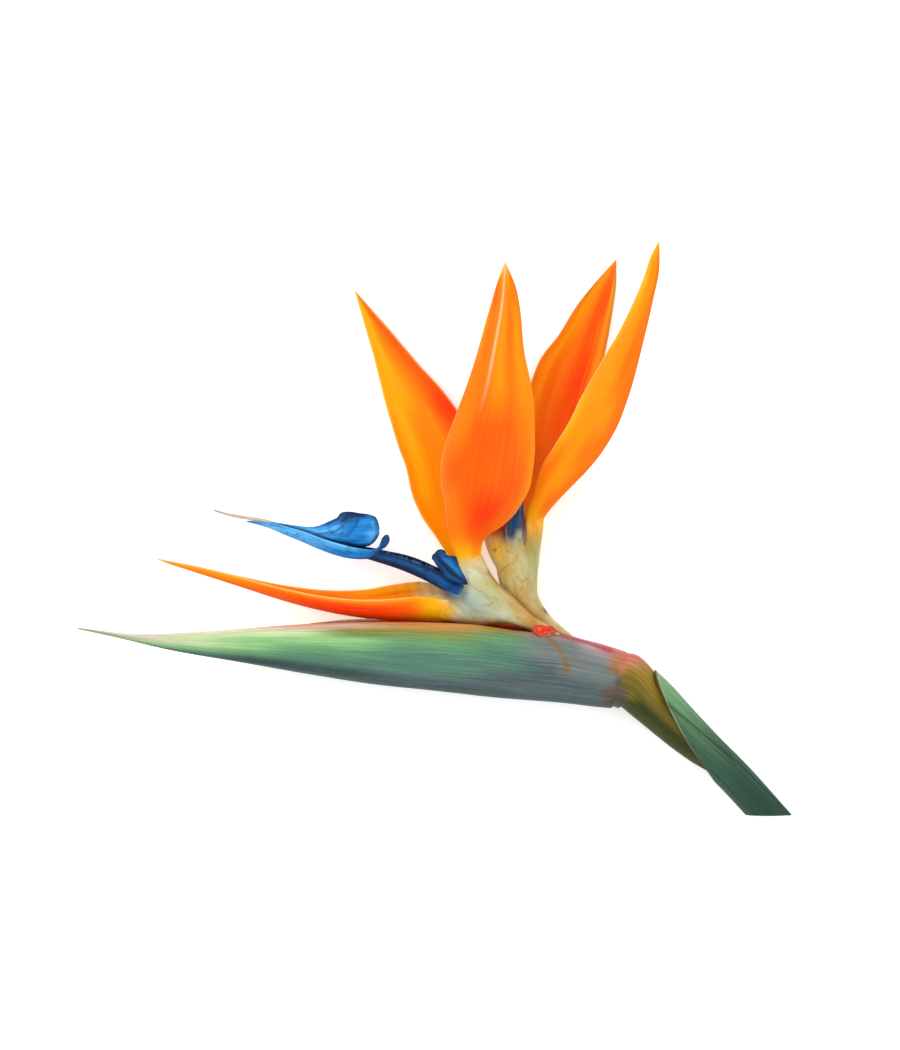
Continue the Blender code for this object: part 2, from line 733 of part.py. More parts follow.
def main():
    clear_scene()
    orange = material("sepal_orange", (0.95, 0.25, 0.01), 0.4)
    blue = material("petal_blue", (0.02, 0.15, 0.55), 0.45)
    cream = material("base_cream", (0.75, 0.68, 0.42), 0.5)
    white = material("style_white", (0.85, 0.82, 0.72), 0.5)
    spathe(material("spathe_green", (0.14, 0.27, 0.21), 0.5))
    flower_stalk(material("stalk_olive", (0.32, 0.27, 0.05), 0.5))
    stalk_sheath(material("sheath_green", (0.1, 0.3, 0.16), 0.5))
    first_floret(orange, blue, cream, white)
    second_floret(orange, blue, cream, white)
    sap_drop(material("sap_red", (0.75, 0.06, 0.01), 0.15))


main()
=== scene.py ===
"""The look of a cut bird of paradise flower that lies on its side on a pale floor.

X runs towards the stalk, Y up the flower, and Z away from the floor. Lengths are in millimetres until a
mesh is made, and the routes, widths and lifts are those of the CAD model.

A piece is a loft: rows of closed rings. Each point carries a place on its own skin ("skin": across, along,
side, in millimetres), which the fibres, veins and bumps follow, and a colour ("paint"), read from a small
chart of letters, which the material then varies.
"""

import math

import bpy
import numpy as np
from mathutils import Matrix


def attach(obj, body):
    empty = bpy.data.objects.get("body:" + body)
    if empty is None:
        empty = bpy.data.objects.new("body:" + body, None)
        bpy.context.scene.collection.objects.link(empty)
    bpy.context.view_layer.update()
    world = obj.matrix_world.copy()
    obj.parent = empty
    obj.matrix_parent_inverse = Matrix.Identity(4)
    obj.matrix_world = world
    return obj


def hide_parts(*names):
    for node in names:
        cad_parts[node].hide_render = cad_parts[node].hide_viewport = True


MM = 0.001
UP = np.array([0.0, 0.0, 1.0])
SHARP_ANGLE = math.radians(50)  # edges sharper than this stay crisp
MIDDLE = 10.8  # height of the flower's middle plane
CUT_Y = -95.25  # where the stalk was cut across


# ---------------------------------------------------------------- curves


def hermite(knots, values, slopes, at):
    """The cubic curve with these values and slopes at the knots, read at the places in at."""
    i = np.clip(np.searchsorted(knots, at, side="right") - 1, 0, len(knots) - 2)
    span = knots[i + 1] - knots[i]
    u = (at - knots[i]) / span
    if values.ndim > 1:
        span, u = span[:, None], u[:, None]
    return (
        values[i] * (1 + 2 * u) * (1 - u) ** 2
        + slopes[i] * span * u * (1 - u) ** 2
        + values[i + 1] * (3 - 2 * u) * u**2
        + slopes[i + 1] * span * (u - 1) * u**2
    )


def route_knots(points):
    """Each point's share of the length of the route so far, and that length."""
    knots = np.concatenate([[0], np.cumsum(np.linalg.norm(np.diff(points, axis=0), axis=1))])
    return knots / knots[-1], knots[-1]


def curve(points, at):
    """A smooth curve through the points, read at shares of its length."""
    points = np.array(points, float)
    knots, _ = route_knots(points)
    return hermite(knots, points, np.gradient(points, knots, axis=0), at)


def profile(pairs, at):
    """A smooth line through (place, value) pairs that never passes the values on either side."""
    knots, values = np.array(pairs, float).T
    rise = np.diff(values) / np.diff(knots)
    before, after = rise[:-1], rise[1:]
    same_way = before * after > 0
    inner = np.where(same_way, 2 * before * after / np.where(same_way, before + after, 1), 0)
    return hermite(knots, values, np.concatenate([[rise[0]], inner, [rise[-1]]]), at)


def centre_and_side(points, at):
    """Places on a curve through the points, and the level direction to the left of its run there."""
    along = curve(points, at + 0.001) - curve(points, at - 0.001)
    side = np.stack([-along[:, 1], along[:, 0], np.zeros(len(at))], axis=1)
    return curve(points, at), side / np.linalg.norm(side, axis=1)[:, None]


def normals(grid):
    """Unit normals of a grid of points, from its rows and columns."""
    n = np.cross(np.gradient(grid, axis=1), np.gradient(grid, axis=0))
    return n / np.maximum(np.linalg.norm(n, axis=2), 1e-9)[:, :, None]


def step(low, high, at):
    """A smooth step from 0 at low to 1 at high."""
    u = np.clip((at - low) / (high - low), 0, 1)
    return u * u * (3 - 2 * u)


def weights(knots, at):
    """How much each knot counts at the places in at, on a smooth curve through the knots."""
    knots = np.array(knots, float)
    shares = np.eye(len(knots))
    flat = hermite(knots, shares, 0.5 * np.gradient(shares, knots, axis=0), np.ravel(at))
    return flat.reshape(*np.shape(at), len(knots))


def chart_colours(chart, palette, along, across):
    """Colours from a chart, read at each point. A row is (place along, letters from margin to margin)."""
    colours = np.array([[palette[letter] for letter in letters] for _, letters in chart])
    if colours.shape[1] == 1:
        colours = np.repeat(colours, 2, axis=1)
    by_row = weights([place for place, _ in chart], along)
    by_column = weights(np.linspace(0, 1, colours.shape[1]), across)
    return np.clip(np.einsum("rcs,skx,rck->rcx", by_row, colours, by_column), 0, 1)


def wave(at, seed, waves=(3, 5, 8, 13)):
    """A slow uneven swing about 0, along a share of a length."""
    return sum(math.cos(seed * n) / n * np.sin(2 * math.pi * n * at + seed * n * n) for n in waves) * 2


def blot(points, x, y, long, wide, turn=0.0):
    """How near each point is, seen from above, to an oval soft spot: 1 at its middle and 0 far away."""
    c, s = math.cos(math.radians(turn)), math.sin(math.radians(turn))
    dx, dy = points[..., 0] - x, points[..., 1] - y
    return np.exp(-(((dx * c + dy * s) / long) ** 2) - ((dy * c - dx * s) / wide) ** 2)


def stroke(points, line, width):
    """How near each point is, seen from above, to a line of (x, y) corners: 1 on it and 0 far away."""
    place = points[..., :2]
    nearest = np.full(place.shape[:-1], 1e9)
    for start, end in zip(line[:-1], line[1:]):
        start, run = np.array(start), np.subtract(end, start)
        share = np.clip(((place - start) @ run) / (run @ run), 0, 1)
        nearest = np.minimum(nearest, np.linalg.norm(place - start - share[..., None] * run, axis=-1))
    return np.exp(-((nearest / width) ** 2))


def tinted(paint, amount, colour):
    """The paint with this much of a colour over it."""
    amount = np.clip(amount, 0, 1)[..., None]
    return paint * (1 - amount) + np.array(colour) * amount


def marked(paint, points, marks):
    """The paint with marks over it, in turn: (amount, colour, blot or stroke, its own measures)."""
    for amount, colour, mark, *measures in marks:
        paint = tinted(paint, amount * mark(points, *measures), colour)
    return paint


# ---------------------------------------------------------------- meshes


def linked(name, data):
    """A new object with this data, in the scene."""
    made = bpy.data.objects.new(name, data)
    bpy.context.scene.collection.objects.link(made)
    return made


def ring_faces(heights, columns, rows):
    """The faces between rings and their corners' map places, with the rings at these map heights."""
    faces, places = [], []
    for r in range(len(heights) - 1):
        s = (r + 1) % rows
        low, high = heights[r], heights[r + 1]
        for c in range(columns):
            d = (c + 1) % columns
            u, w = c / columns, (c + 1) / columns
            faces.append((r * columns + c, r * columns + d, s * columns + d, s * columns + c))
            places += [(u, low), (w, low), (w, high), (u, high)]
    return faces, places


def loft(rings, skin, paint):
    """Points, faces, face corners' map places, skin places and colours of a closed loft over rings."""
    rows, columns = rings.shape[:2]
    last = (rows - 1) * columns
    up = 0.02 + 0.96 * np.arange(rows) / (rows - 1)
    faces, places = ring_faces(up, columns, rows)
    for c in range(columns):
        d = (c + 1) % columns
        u, w = c / columns, (c + 1) / columns
        faces.append((d, c, rows * columns))
        places += [(w, up[0]), (u, up[0]), ((u + w) / 2, 0)]
        faces.append((last + c, last + d, rows * columns + 1))
        places += [(u, up[-1]), (w, up[-1]), ((u + w) / 2, 1)]

    def with_ends(values):
        return np.concatenate([values.reshape(rows * columns, -1), values[[0, -1]].mean(axis=1)])

    return with_ends(rings), faces, places, with_ends(skin), with_ends(paint)


def joined(name, parts):
    """One mesh from the points and faces of several lofts."""
    faces, count = [], 0
    for points, own_faces, *_ in parts:
        faces += [tuple(i + count for i in face) for face in own_faces]
        count += len(points)
    mesh = bpy.data.meshes.new(name)
    mesh.from_pydata((np.concatenate([part[0] for part in parts]) * MM).tolist(), [], faces)
    return mesh


def piece(name, parts, finish, node):
    """One object from lofts, which stands for a CAD node and moves with it."""
    mesh = joined(name, parts)
    if parts[0][2] is not None:
        places = [(np.array(part[2]) + [index, 0]) / [len(parts), 1] for index, part in enumerate(parts)]
        mesh.uv_layers.new(name="OFBake").data.foreach_set("uv", np.concatenate(places).ravel())
    skin = mesh.attributes.new("skin", "FLOAT_VECTOR", "POINT")
    skin.data.foreach_set("vector", np.concatenate([part[3] for part in parts]).ravel())
    paint = mesh.attributes.new("paint", "FLOAT_COLOR", "POINT")
    rgb = np.concatenate([part[4] for part in parts])
    paint.data.foreach_set("color", np.concatenate([rgb, np.ones((len(rgb), 1))], axis=1).ravel())
    mesh.materials.append(finish)
    mesh.shade_smooth()
    mesh.set_sharp_from_angle(angle=SHARP_ANGLE)
    made = linked(name, mesh)
    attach(made, "root")
    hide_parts(node)


# ---------------------------------------------------------------- blades

RIM_STEPS = np.array([0.62, 0.3, 0.1, 0.0])  # columns over the rounded rim, as shares of its width
SEPAL_THICKNESS = 0.9
PETAL_THICKNESS = 0.6
CLAW_THICKNESS = 0.7
COLUMNS = 26  # of each half, before the rim's own


def half_blade(centre, side, at, half, u):
    """The points of one half of a blade, at shares u of the way from the midrib to its margin."""
    width = profile(half["width"], at)
    lift = profile(half["lift"], at)
    chord = side * width[:, None] + UP * lift[:, None]
    bulge = (UP * width[:, None] - side * lift[:, None]) * (2 * half["bow"])
    handle = centre + chord / 2 + bulge
    u = u[:, :, None]
    return (
        centre[:, None] * (1 - u) ** 2
        + handle[:, None] * 2 * u * (1 - u)
        + (centre + chord)[:, None] * u**2
    )


def half_shares(half, at, rim, columns):
    """Shares from midrib to margin, close together over the rounded rim, and the half's reach."""
    reach = np.maximum(np.hypot(profile(half["width"], at), profile(half["lift"], at)), 0.05)
    edge = np.minimum(rim, 0.45 * reach) / reach
    inner = np.linspace(0, 1, columns)[None, :-1] * (1 - edge)[:, None]
    outer = 1 - edge[:, None] * np.concatenate([[1.0], RIM_STEPS])[None, :]
    return np.concatenate([inner, outer], axis=1), reach


def blade(shape, thickness, chart, palette, rows=150, columns=COLUMNS, tune=None):
    """A loft over a blade: midrib, two halves, and what makes it uneven.

    shape["folds"] are ridges and furrows: (start, end, across at start, across at end, width, height), where
    across runs from -1 at the left margin to 1 at the right one. shape["ripple"] is how far the margins
    swing, and shape["seed"] sets every uneven thing.
    """
    at = np.linspace(0, 1, rows)
    at = at + 0.04 * np.sin(2 * math.pi * at) / (2 * math.pi) * 2
    _, length = route_knots(np.array(shape["midrib"], float))
    centre, side = centre_and_side(shape["midrib"], at)
    grids, acrosses, edges = [], [], []
    for sign, half in ((-1, shape.get("left")), (1, shape.get("right"))):
        if not half:
            continue
        u, reach = half_shares(half, at, thickness / 2, columns)
        grid = half_blade(centre, -side * sign, at, half, u)
        margin = (1 - u) * reach[:, None]
        if sign < 0:
            grid, u, margin = grid[:, ::-1], u[:, ::-1], margin[:, ::-1]
        elif grids:
            grid, u, margin = grid[:, 1:], u[:, 1:], margin[:, 1:]
        grids.append(grid)
        acrosses.append(sign * u)
        edges.append(margin)
    grid = np.concatenate(grids, axis=1)
    across = np.concatenate(acrosses, axis=1)
    edge = np.concatenate(edges, axis=1)
    if len(grids) == 1:
        edge = np.minimum(edge, np.abs(across) * edge.max(axis=1)[:, None])
    along = np.broadcast_to(at[:, None], across.shape)

    seed = shape["seed"]
    height = np.zeros(across.shape)
    for start, end, first, last, width, rise in shape["folds"]:
        share = np.clip((along - start) / (end - start), 0, 1)
        line = first + (last - first) * share
        height += rise * np.sin(math.pi * share) ** 0.7 * np.exp(-(((across - line) / width) ** 2))
    swing = wave(along, seed) * np.abs(across) ** 3 + 0.35 * wave(along + 0.13 * across, seed + 1, (2, 4, 7))
    breadth = np.linalg.norm(grid[:, 0] - grid[:, -1], axis=1)
    fade = np.minimum(1, breadth / 8)[:, None] * step(0, 0.12, along)
    height = height * fade + shape["ripple"] * swing * fade
    up = normals(grid)
    grid = grid + up * height[:, :, None]

    spread = np.linalg.norm(np.diff(grid, axis=1), axis=2).sum(axis=1)
    full = np.minimum(thickness, 0.6 * spread)[:, None] * (1 - 0.25 * np.abs(across) ** 3)
    rounded = np.clip(edge / (full / 2), 0, 1)
    thick = full / 2 * np.sqrt(1 - (1 - rounded) ** 2)
    up = normals(grid)
    front, back = grid + up * thick[:, :, None], grid - up * thick[:, :, None]
    rings = np.concatenate([front, back[:, -2:0:-1]], axis=1)

    def looped(values):
        return np.concatenate([values, values[:, -2:0:-1]], axis=1)

    mean_reach = np.median(spread) / 2
    place = np.stack([across * mean_reach, along * length, np.full(across.shape, 8.0)], axis=2)
    skin = np.concatenate([place, place[:, -2:0:-1] * [1, 1, -1]], axis=1)
    low, high = across.min(), across.max()
    paint = looped(chart_colours(chart, palette, along, (across - low) / (high - low)))
    if tune:
        paint = tune(paint, rings, looped(along), looped(across), looped(edge))
    return loft(rings, skin, paint)


# ---------------------------------------------------------------- limbs


def oval_rings(route, across, depth, at, angle):
    """Oval rings along a route: across is the level half-width and depth the upright one."""
    shape = at.shape
    centre, side = centre_and_side(route, at.ravel())
    level = profile(across, at.ravel()) * np.cos(angle).ravel()
    upright = profile(depth, at.ravel()) * np.sin(angle).ravel()
    return (centre + side * level[:, None] + UP * upright[:, None]).reshape(*shape, 3)


def ring_places(shares, count, start=0.0, end=1.0):
    """Places along a route and angles, for rings of count points each."""
    angle = np.linspace(0, 2 * math.pi, count, endpoint=False)
    at = start + (end - start) * shares[:, None] + 0 * angle
    return at, np.broadcast_to(angle, at.shape)


def limb_skin(route, across, at, angle):
    """Skin places round a limb, as wide as its widest ring."""
    _, length = route_knots(np.array(route, float))
    girth = max(radius for _, radius in across)
    return np.stack([np.cos(angle) * girth, at * length, np.sin(angle) * girth], axis=2)


def pushed_out(grid, centre, amount):
    """Rings whose points are each moved this far away from their ring's centre."""
    outwards = grid - centre
    outwards /= np.linalg.norm(outwards, axis=2)[:, :, None]
    return grid + outwards * amount[:, :, None]


def uneven(grid, swing):
    """Rings whose points are each moved out from or in to the ring's middle by this share."""
    centre = grid.mean(axis=1, keepdims=True)
    return centre + (grid - centre) * (1 + swing)[:, :, None]


# ---------------------------------------------------------------- materials


class Tree:
    """A material's node tree, with short ways to add to it."""

    def __init__(self, name, **constants):
        self.material = bpy.data.materials.new(name)
        self.material.use_nodes = True
        self.nodes = self.material.node_tree.nodes
        self.links = self.material.node_tree.links
        self.shader = self.nodes["Principled BSDF"]
        for socket, value in constants.items():
            self.shader.inputs[socket.replace("_", " ")].default_value = value

    def plug(self, value, socket):
        if isinstance(value, bpy.types.NodeSocket):
            self.links.new(value, socket)
        else:
            socket.default_value = value

    def attribute(self, name, output):
        node = self.nodes.new("ShaderNodeAttribute")
        node.attribute_name = name
        return node.outputs[output]

    def stretched(self, scale):
        """The skin's coordinates, scaled across, along and from side to side."""
        node = self.nodes.new("ShaderNodeVectorMath")
        node.operation = "MULTIPLY"
        self.links.new(self.attribute("skin", "Vector"), node.inputs[0])
        node.inputs[1].default_value = scale
        return node.outputs[0]

    def noise(self, scale, detail=3.0, roughness=0.55, distortion=0.0):
        """Noise over the skin. scale is in cells for each millimetre: across, along, side."""
        node = self.nodes.new("ShaderNodeTexNoise")
        self.links.new(self.stretched(scale), node.inputs["Vector"])
        node.inputs["Scale"].default_value = 1.0
        node.inputs["Detail"].default_value = detail
        node.inputs["Roughness"].default_value = roughness
        node.inputs["Distortion"].default_value = distortion
        return node.outputs["Fac"]

    def spots(self, scale, size):
        """Small round spots scattered over the skin: 1 inside and 0 outside."""
        node = self.nodes.new("ShaderNodeTexVoronoi")
        self.links.new(self.stretched(scale), node.inputs["Vector"])
        node.inputs["Scale"].default_value = 1.0
        return self.ranged(node.outputs["Distance"], 0.6 * size, size, 1.0, 0.0)

    def ranged(self, value, low, high, to_low=0.0, to_high=1.0):
        node = self.nodes.new("ShaderNodeMapRange")
        node.interpolation_type = "SMOOTHSTEP"
        node.inputs["From Min"].default_value = low
        node.inputs["From Max"].default_value = high
        node.inputs["To Min"].default_value = to_low
        node.inputs["To Max"].default_value = to_high
        self.links.new(value, node.inputs["Value"])
        return node.outputs["Result"]

    def maths(self, operation, first, second):
        node = self.nodes.new("ShaderNodeMath")
        node.operation = operation
        self.plug(first, node.inputs[0])
        self.plug(second, node.inputs[1])
        return node.outputs[0]

    def mixed(self, factor, first, second, blend="MIX"):
        node = self.nodes.new("ShaderNodeMix")
        node.data_type = "RGBA"
        node.blend_type = blend
        self.plug(factor, node.inputs["Factor"])
        self.plug(first, node.inputs[6])
        self.plug(second, node.inputs[7])
        return node.outputs[2]

    def tint(self, colour, value, low, high, amount, over, blend="MULTIPLY"):
        """The colour with another over it, which grows to this amount as value goes from low to high."""
        return self.mixed(self.ranged(value, low, high, 0.0, amount), colour, (*over, 1), blend)

    def summed(self, first, first_share, second, second_share):
        first = self.maths("MULTIPLY", first, first_share)
        return self.maths("ADD", first, self.maths("MULTIPLY", second, second_share))

    def finish(self, colour, roughness, height, depth):
        """Wires the shader: colour, roughness, and a bump this many metres deep. Returns the material."""
        bump = self.nodes.new("ShaderNodeBump")
        bump.inputs["Strength"].default_value = 1.0
        bump.inputs["Distance"].default_value = depth
        self.links.new(height, bump.inputs["Height"])
        self.links.new(bump.outputs["Normal"], self.shader.inputs["Normal"])
        self.plug(colour, self.shader.inputs["Base Color"])
        self.plug(roughness, self.shader.inputs["Roughness"])
        return self.material


def sepal_finish():
    """Waxy orange: deeper and paler veins that run lengthwise, and a soft sheen."""
    tree = Tree(
        "sepal_orange",
        Subsurface_Weight=0.1,
        Subsurface_Radius=(1.0, 0.3, 0.02),
        Subsurface_Scale=0.0016,
        Coat_Weight=0.03,
        Coat_Roughness=0.25,
        Specular_IOR_Level=0.1,
    )
    paint = tree.attribute("paint", "Color")
    veins = tree.noise((2.1, 0.028, 0.3), 4.0, 0.6)
    fine = tree.noise((5.5, 0.06, 0.3), 2.0, 0.5)
    clouds = tree.noise((0.22, 0.05, 0.2), 2.0, 0.5)
    colour = tree.tint(paint, veins, 0.45, 0.72, 0.3, (1.0, 0.66, 0.5))
    colour = tree.tint(colour, veins, 0.52, 0.3, 0.1, (1.0, 0.36, 0.0), "MIX")
    colour = tree.tint(colour, clouds, 0.45, 0.7, 0.25, (1.0, 0.8, 0.6))
    colour = tree.tint(colour, fine, 0.58, 0.78, 0.07, (1.0, 0.5, 0.05), "MIX")
    roughness = tree.ranged(tree.noise((1.4, 0.1, 0.3), 3.0), 0.3, 0.7, 0.36, 0.52)
    height = tree.summed(veins, 0.7, fine, 0.3)
    return tree.finish(colour, roughness, height, 0.00015)


def petal_finish():
    """Satin blue: painted shade in the wrinkles, and fine pale fibres that run lengthwise, their paleness
    partly a painted highlight.
    """
    tree = Tree(
        "petal_blue",
        Coat_Weight=0.04,
        Coat_Roughness=0.3,
        Specular_IOR_Level=0.16,
    )
    paint = tree.attribute("paint", "Color")
    fibres = tree.noise((3.2, 0.12, 0.4), 4.0, 0.62, 0.4)
    crumple = tree.noise((0.7, 0.22, 0.4), 3.0, 0.55, 0.6)
    colour = tree.tint(paint, fibres, 0.45, 0.3, 0.7, (0.2, 0.4, 0.5))
    # Paler along the fibres: partly their own tone, partly a painted satin highlight.
    colour = tree.tint(colour, fibres, 0.5, 0.72, 0.6, (2.2, 1.8, 1.4))
    # Painted shade: darker in the wrinkle hollows, where the bump dips.
    colour = tree.tint(colour, crumple, 0.48, 0.34, 0.6, (0.2, 0.35, 0.5))
    roughness = tree.ranged(fibres, 0.3, 0.7, 0.5, 0.34)
    height = tree.summed(crumple, 0.65, fibres, 0.35)
    return tree.finish(colour, roughness, height, 0.0007)


def base_finish():
    """Cream flesh: faint green and warm clouds, brown specks and hair-fine scratches."""
    tree = Tree(
        "base_cream",
        Subsurface_Weight=0.15,
        Subsurface_Radius=(1.0, 0.7, 0.3),
        Subsurface_Scale=0.0012,
        Coat_Weight=0.06,
        Coat_Roughness=0.25,
        Specular_IOR_Level=0.2,
    )
    paint = tree.attribute("paint", "Color")
    clouds = tree.noise((0.35, 0.12, 0.35), 3.0, 0.55, 0.3)
    fibres = tree.noise((1.5, 0.14, 1.5), 4.0, 0.65)
    scars = tree.noise((1.3, 0.5, 1.3), 2.0, 0.4, 1.6)
    colour = tree.tint(paint, clouds, 0.46, 0.62, 0.6, (0.92, 0.72, 0.40))
    colour = tree.tint(colour, fibres, 0.52, 0.7, 0.25, (0.80, 0.66, 0.40))
    colour = tree.tint(colour, clouds, 0.44, 0.34, 0.6, (1.1, 1.2, 1.5))
    off_line = tree.maths("ABSOLUTE", tree.maths("SUBTRACT", scars, 0.5), 0.0)
    line = tree.ranged(off_line, 0.0, 0.012, 0.45, 0.0)
    colour = tree.mixed(tree.maths("MULTIPLY", line, clouds), colour, (0.3, 0.13, 0.02, 1))
    colour = tree.mixed(tree.spots((0.5, 0.34, 0.5), 0.11), colour, (0.24, 0.11, 0.03, 1))
    roughness = tree.ranged(clouds, 0.3, 0.7, 0.34, 0.5)
    height = tree.summed(clouds, 0.6, fibres, 0.4)
    return tree.finish(colour, roughness, height, 0.00035)


def leaf_finish(name, bloom, depth, fibre):
    """Leaf skin: fine lengthwise fibres, a dusting of pale wax in short dashes, and a satin sheen."""
    tree = Tree(
        name,
        Subsurface_Weight=0.05,
        Subsurface_Radius=(0.4, 0.8, 0.3),
        Subsurface_Scale=0.0008,
        Coat_Weight=0.04,
        Coat_Roughness=0.4,
        Specular_IOR_Level=0.16,
    )
    paint = tree.attribute("paint", "Color")
    fibres = tree.noise((fibre, 0.035, fibre), 4.0, 0.65)
    dashes = tree.noise((fibre * 2.2, 0.32, fibre * 2.2), 3.0, 0.7)
    clouds = tree.noise((0.16, 0.03, 0.16), 3.0, 0.5)
    colour = tree.tint(paint, fibres, 0.5, 0.34, 0.6, (0.45, 0.55, 0.55))
    colour = tree.tint(colour, clouds, 0.4, 0.7, 0.3, (0.7, 0.85, 0.9))
    colour = tree.tint(colour, fibres, 0.5, 0.68, 0.5, (1.6, 1.5, 1.5))
    dusted = tree.ranged(dashes, 0.54, 0.7, 0.0, bloom)
    wax = tree.maths("MULTIPLY", tree.ranged(fibres, 0.48, 0.64), dusted)
    colour = tree.mixed(wax, colour, (0.36, 0.5, 0.5, 1))
    roughness = tree.ranged(dashes, 0.3, 0.7, 0.42, 0.6)
    height = tree.summed(fibres, 0.75, dashes, 0.25)
    return tree.finish(colour, roughness, height, depth)


def style_finish():
    """Pale plant thread, a little brown in places."""
    tree = Tree("style_white", Subsurface_Weight=0.1, Subsurface_Scale=0.0006, Specular_IOR_Level=0.35)
    paint = tree.attribute("paint", "Color")
    grain = tree.noise((3.0, 0.5, 3.0), 3.0)
    colour = tree.tint(paint, grain, 0.45, 0.7, 0.6, (0.72, 0.6, 0.45))
    return tree.finish(colour, tree.ranged(grain, 0.3, 0.7, 0.5, 0.7), grain, 0.0003)


def sap_finish():
    """Dried sap: glossy, red-orange, clearer where it is thin."""
    tree = Tree(
        "sap",
        Subsurface_Weight=0.1,
        Subsurface_Radius=(1.0, 0.2, 0.05),
        Subsurface_Scale=0.001,
        Coat_Weight=0.8,
        Coat_Roughness=0.03,
        Specular_IOR_Level=0.05,
    )
    paint = tree.attribute("paint", "Color")
    swirl = tree.noise((0.9, 0.5, 0.9), 2.0, 0.5, 1.0)
    colour = tree.tint(paint, swirl, 0.48, 0.62, 0.75, (0.36, 0.02, 0.003), "MIX")
    return tree.finish(colour, tree.ranged(swirl, 0.3, 0.7, 0.08, 0.2), swirl, 0.0003)


# ---------------------------------------------------------------- stalk, sheath and spathe

STALK_ROUTE = [
    (52.0, -48.4, 10.8), (57.0, -49.1, 10.8), (61.6, -50.1, 10.8), (65.9, -52.2, 10.7),
    (69.8, -56.1, 10.4), (78.8, -64.4, 9.5), (87.4, -72.3, 8.6), (95.3, -78.2, 7.8),
    (113.7, -97.9, 6.0),
]
STALK_ACROSS = [
    (0, 6.0), (0.11, 9.1), (0.125, 9.5), (0.17, 9.0), (0.21, 7.8),
    (0.25, 7.3), (0.4, 6.5), (0.55, 5.5), (0.67, 4.7), (1, 4.4),
]
STALK_DEPTH = [
    (0, 6.0), (0.11, 9.1), (0.125, 9.5), (0.17, 8.9), (0.21, 7.9),
    (0.25, 7.1), (0.4, 5.9), (0.55, 5.0), (0.67, 4.6), (1, 4.4),
]
SHEATH_ROUTE = [
    (67.6, -53.6, 10.5), (72.4, -57.4, 10.2), (79.6, -63.8, 9.5), (88.0, -71.7, 8.6),
    (95.3, -78.2, 7.8), (113.7, -97.9, 6.0),
]
SHEATH_RADIUS = [(0, 9.0), (0.1, 8.35), (0.25, 7.3), (0.43, 6.5), (0.58, 5.9), (1, 5.72)]
SHEATH_WALL = 0.75
SHEATH_LENGTH = 72
SHEATH_RIM = 0.62  # share of the sheath's route over which its open end slants
RIM_LEAN = 1.35  # over 1, the rim runs straighter along the side that faces away from the surface
NECK_RISE = 0.06  # how far the neck stands out from the spathe where it comes out of it
STALK_CUT = 0.09  # share of the route over which the cut slants
SHEATH_CUT = 0.14

SPATHE_TIP, SPATHE_END = -119.3, 60.9
SPATHE_WALL = 1.1
SPATHE_GIRTH, SPATHE_LENGTH, SPATHE_SIDE = 34.0, 180, 12.0  # sizes of its skin places
SPATHE_SLANT = [(-119.3, 0), (30, 0), (60.9, 5.0)]  # how far a row's margins are ahead of its keel
SPATHE_KEEL = [
    (-119.3, -33.1), (-95, -38.3), (-62, -44.8), (-28.7, -50.3),
    (4.7, -54.1), (38, -57.4), (54, -58.9), (60.9, -59.4),
]
SPATHE_NEAR_MARGIN = [
    (-119.3, -32.6), (-98, -34.7), (-75, -33.6), (-45, -31.4), (-24, -30.6), (-12, -30.5), (11, -31.2),
    (19, -32.2), (26, -33.3), (33, -34.0), (40, -34.6), (51, -37.2), (60.9, -40.6),
]
SPATHE_FAR_MARGIN = [
    (-119.3, -32.8), (-98, -35.0), (-75, -34.0), (-52, -32.4), (-40, -30.9), (-28, -29.7), (-12, -29.4),
    (4, -29.3), (14, -29.8), (23, -30.9), (31, -32.0), (42, -34.6), (51, -37.5), (60.9, -40.9),
]
SPATHE_HALF_THICKNESS = [
    (-119.3, 0.35), (-98, 1.9), (-62, 5.6), (-28, 8.4), (12, 10.2), (40, 10.55), (60.9, 9.6),
]
SPATHE_MOUTH = [
    (-119.3, 0.2), (-70, 0.5), (-40, 1.2), (-20, 3.6), (5, 6.2),
    (36, 6.8), (45, 3.4), (53, 0.9), (60.9, 0.3),
]
FAR_MOUTH = -0.25  # the far margin curls in, so the mouth shows it from above
SPATHE_ROWS, SPATHE_COLUMNS = 220, 46

LEAF_PALETTE = {
    "t": (0.55, 0.46, 0.30),  # dry tip
    "w": (0.84, 0.78, 0.56),  # bleached
    "y": (0.66, 0.80, 0.42),  # pale green
    "l": (0.31, 0.61, 0.25),  # light green
    "g": (0.145, 0.35, 0.16),  # green
    "b": (0.105, 0.24, 0.165),  # blue-green
    "d": (0.036, 0.080, 0.068),  # dark blue-green
    "s": (0.092, 0.130, 0.135),  # slate
    "p": (0.80, 0.50, 0.36),  # peach
    "q": (0.34, 0.28, 0.27),  # dull pink
    "c": (0.60, 0.15, 0.11),  # coral
    "m": (0.45, 0.03, 0.09),  # magenta
    "k": (0.20, 0.06, 0.03),  # red-brown
    "o": (0.16, 0.120, 0.010),  # olive
    "v": (0.045, 0.050, 0.006),  # dark olive
    "a": (0.28, 0.180, 0.018),  # old gold
    "x": (0.70, 0.14, 0.03),  # orange-red
    "z": (0.64, 0.28, 0.08),  # orange-brown
    "n": (0.075, 0.055, 0.045),  # brown
    "e": (0.50, 0.44, 0.30),  # beige
    "h": (0.040, 0.105, 0.062),  # dark green
    "f": (0.50, 0.56, 0.26),  # cut flesh
    "V": (0.98, 0.26, 0.05),  # vivid orange
    "j": (0.25, 0.27, 0.055),  # yellow-olive
    "u": (0.19, 0.22, 0.21),  # grey
    "i": (0.66, 0.48, 0.48),  # pale pink
    "B": (0.32, 0.17, 0.075),  # light brown
    "C": (0.48, 0.21, 0.08),  # burnt orange
    "D": (0.12, 0.085, 0.065),  # warm brown
}
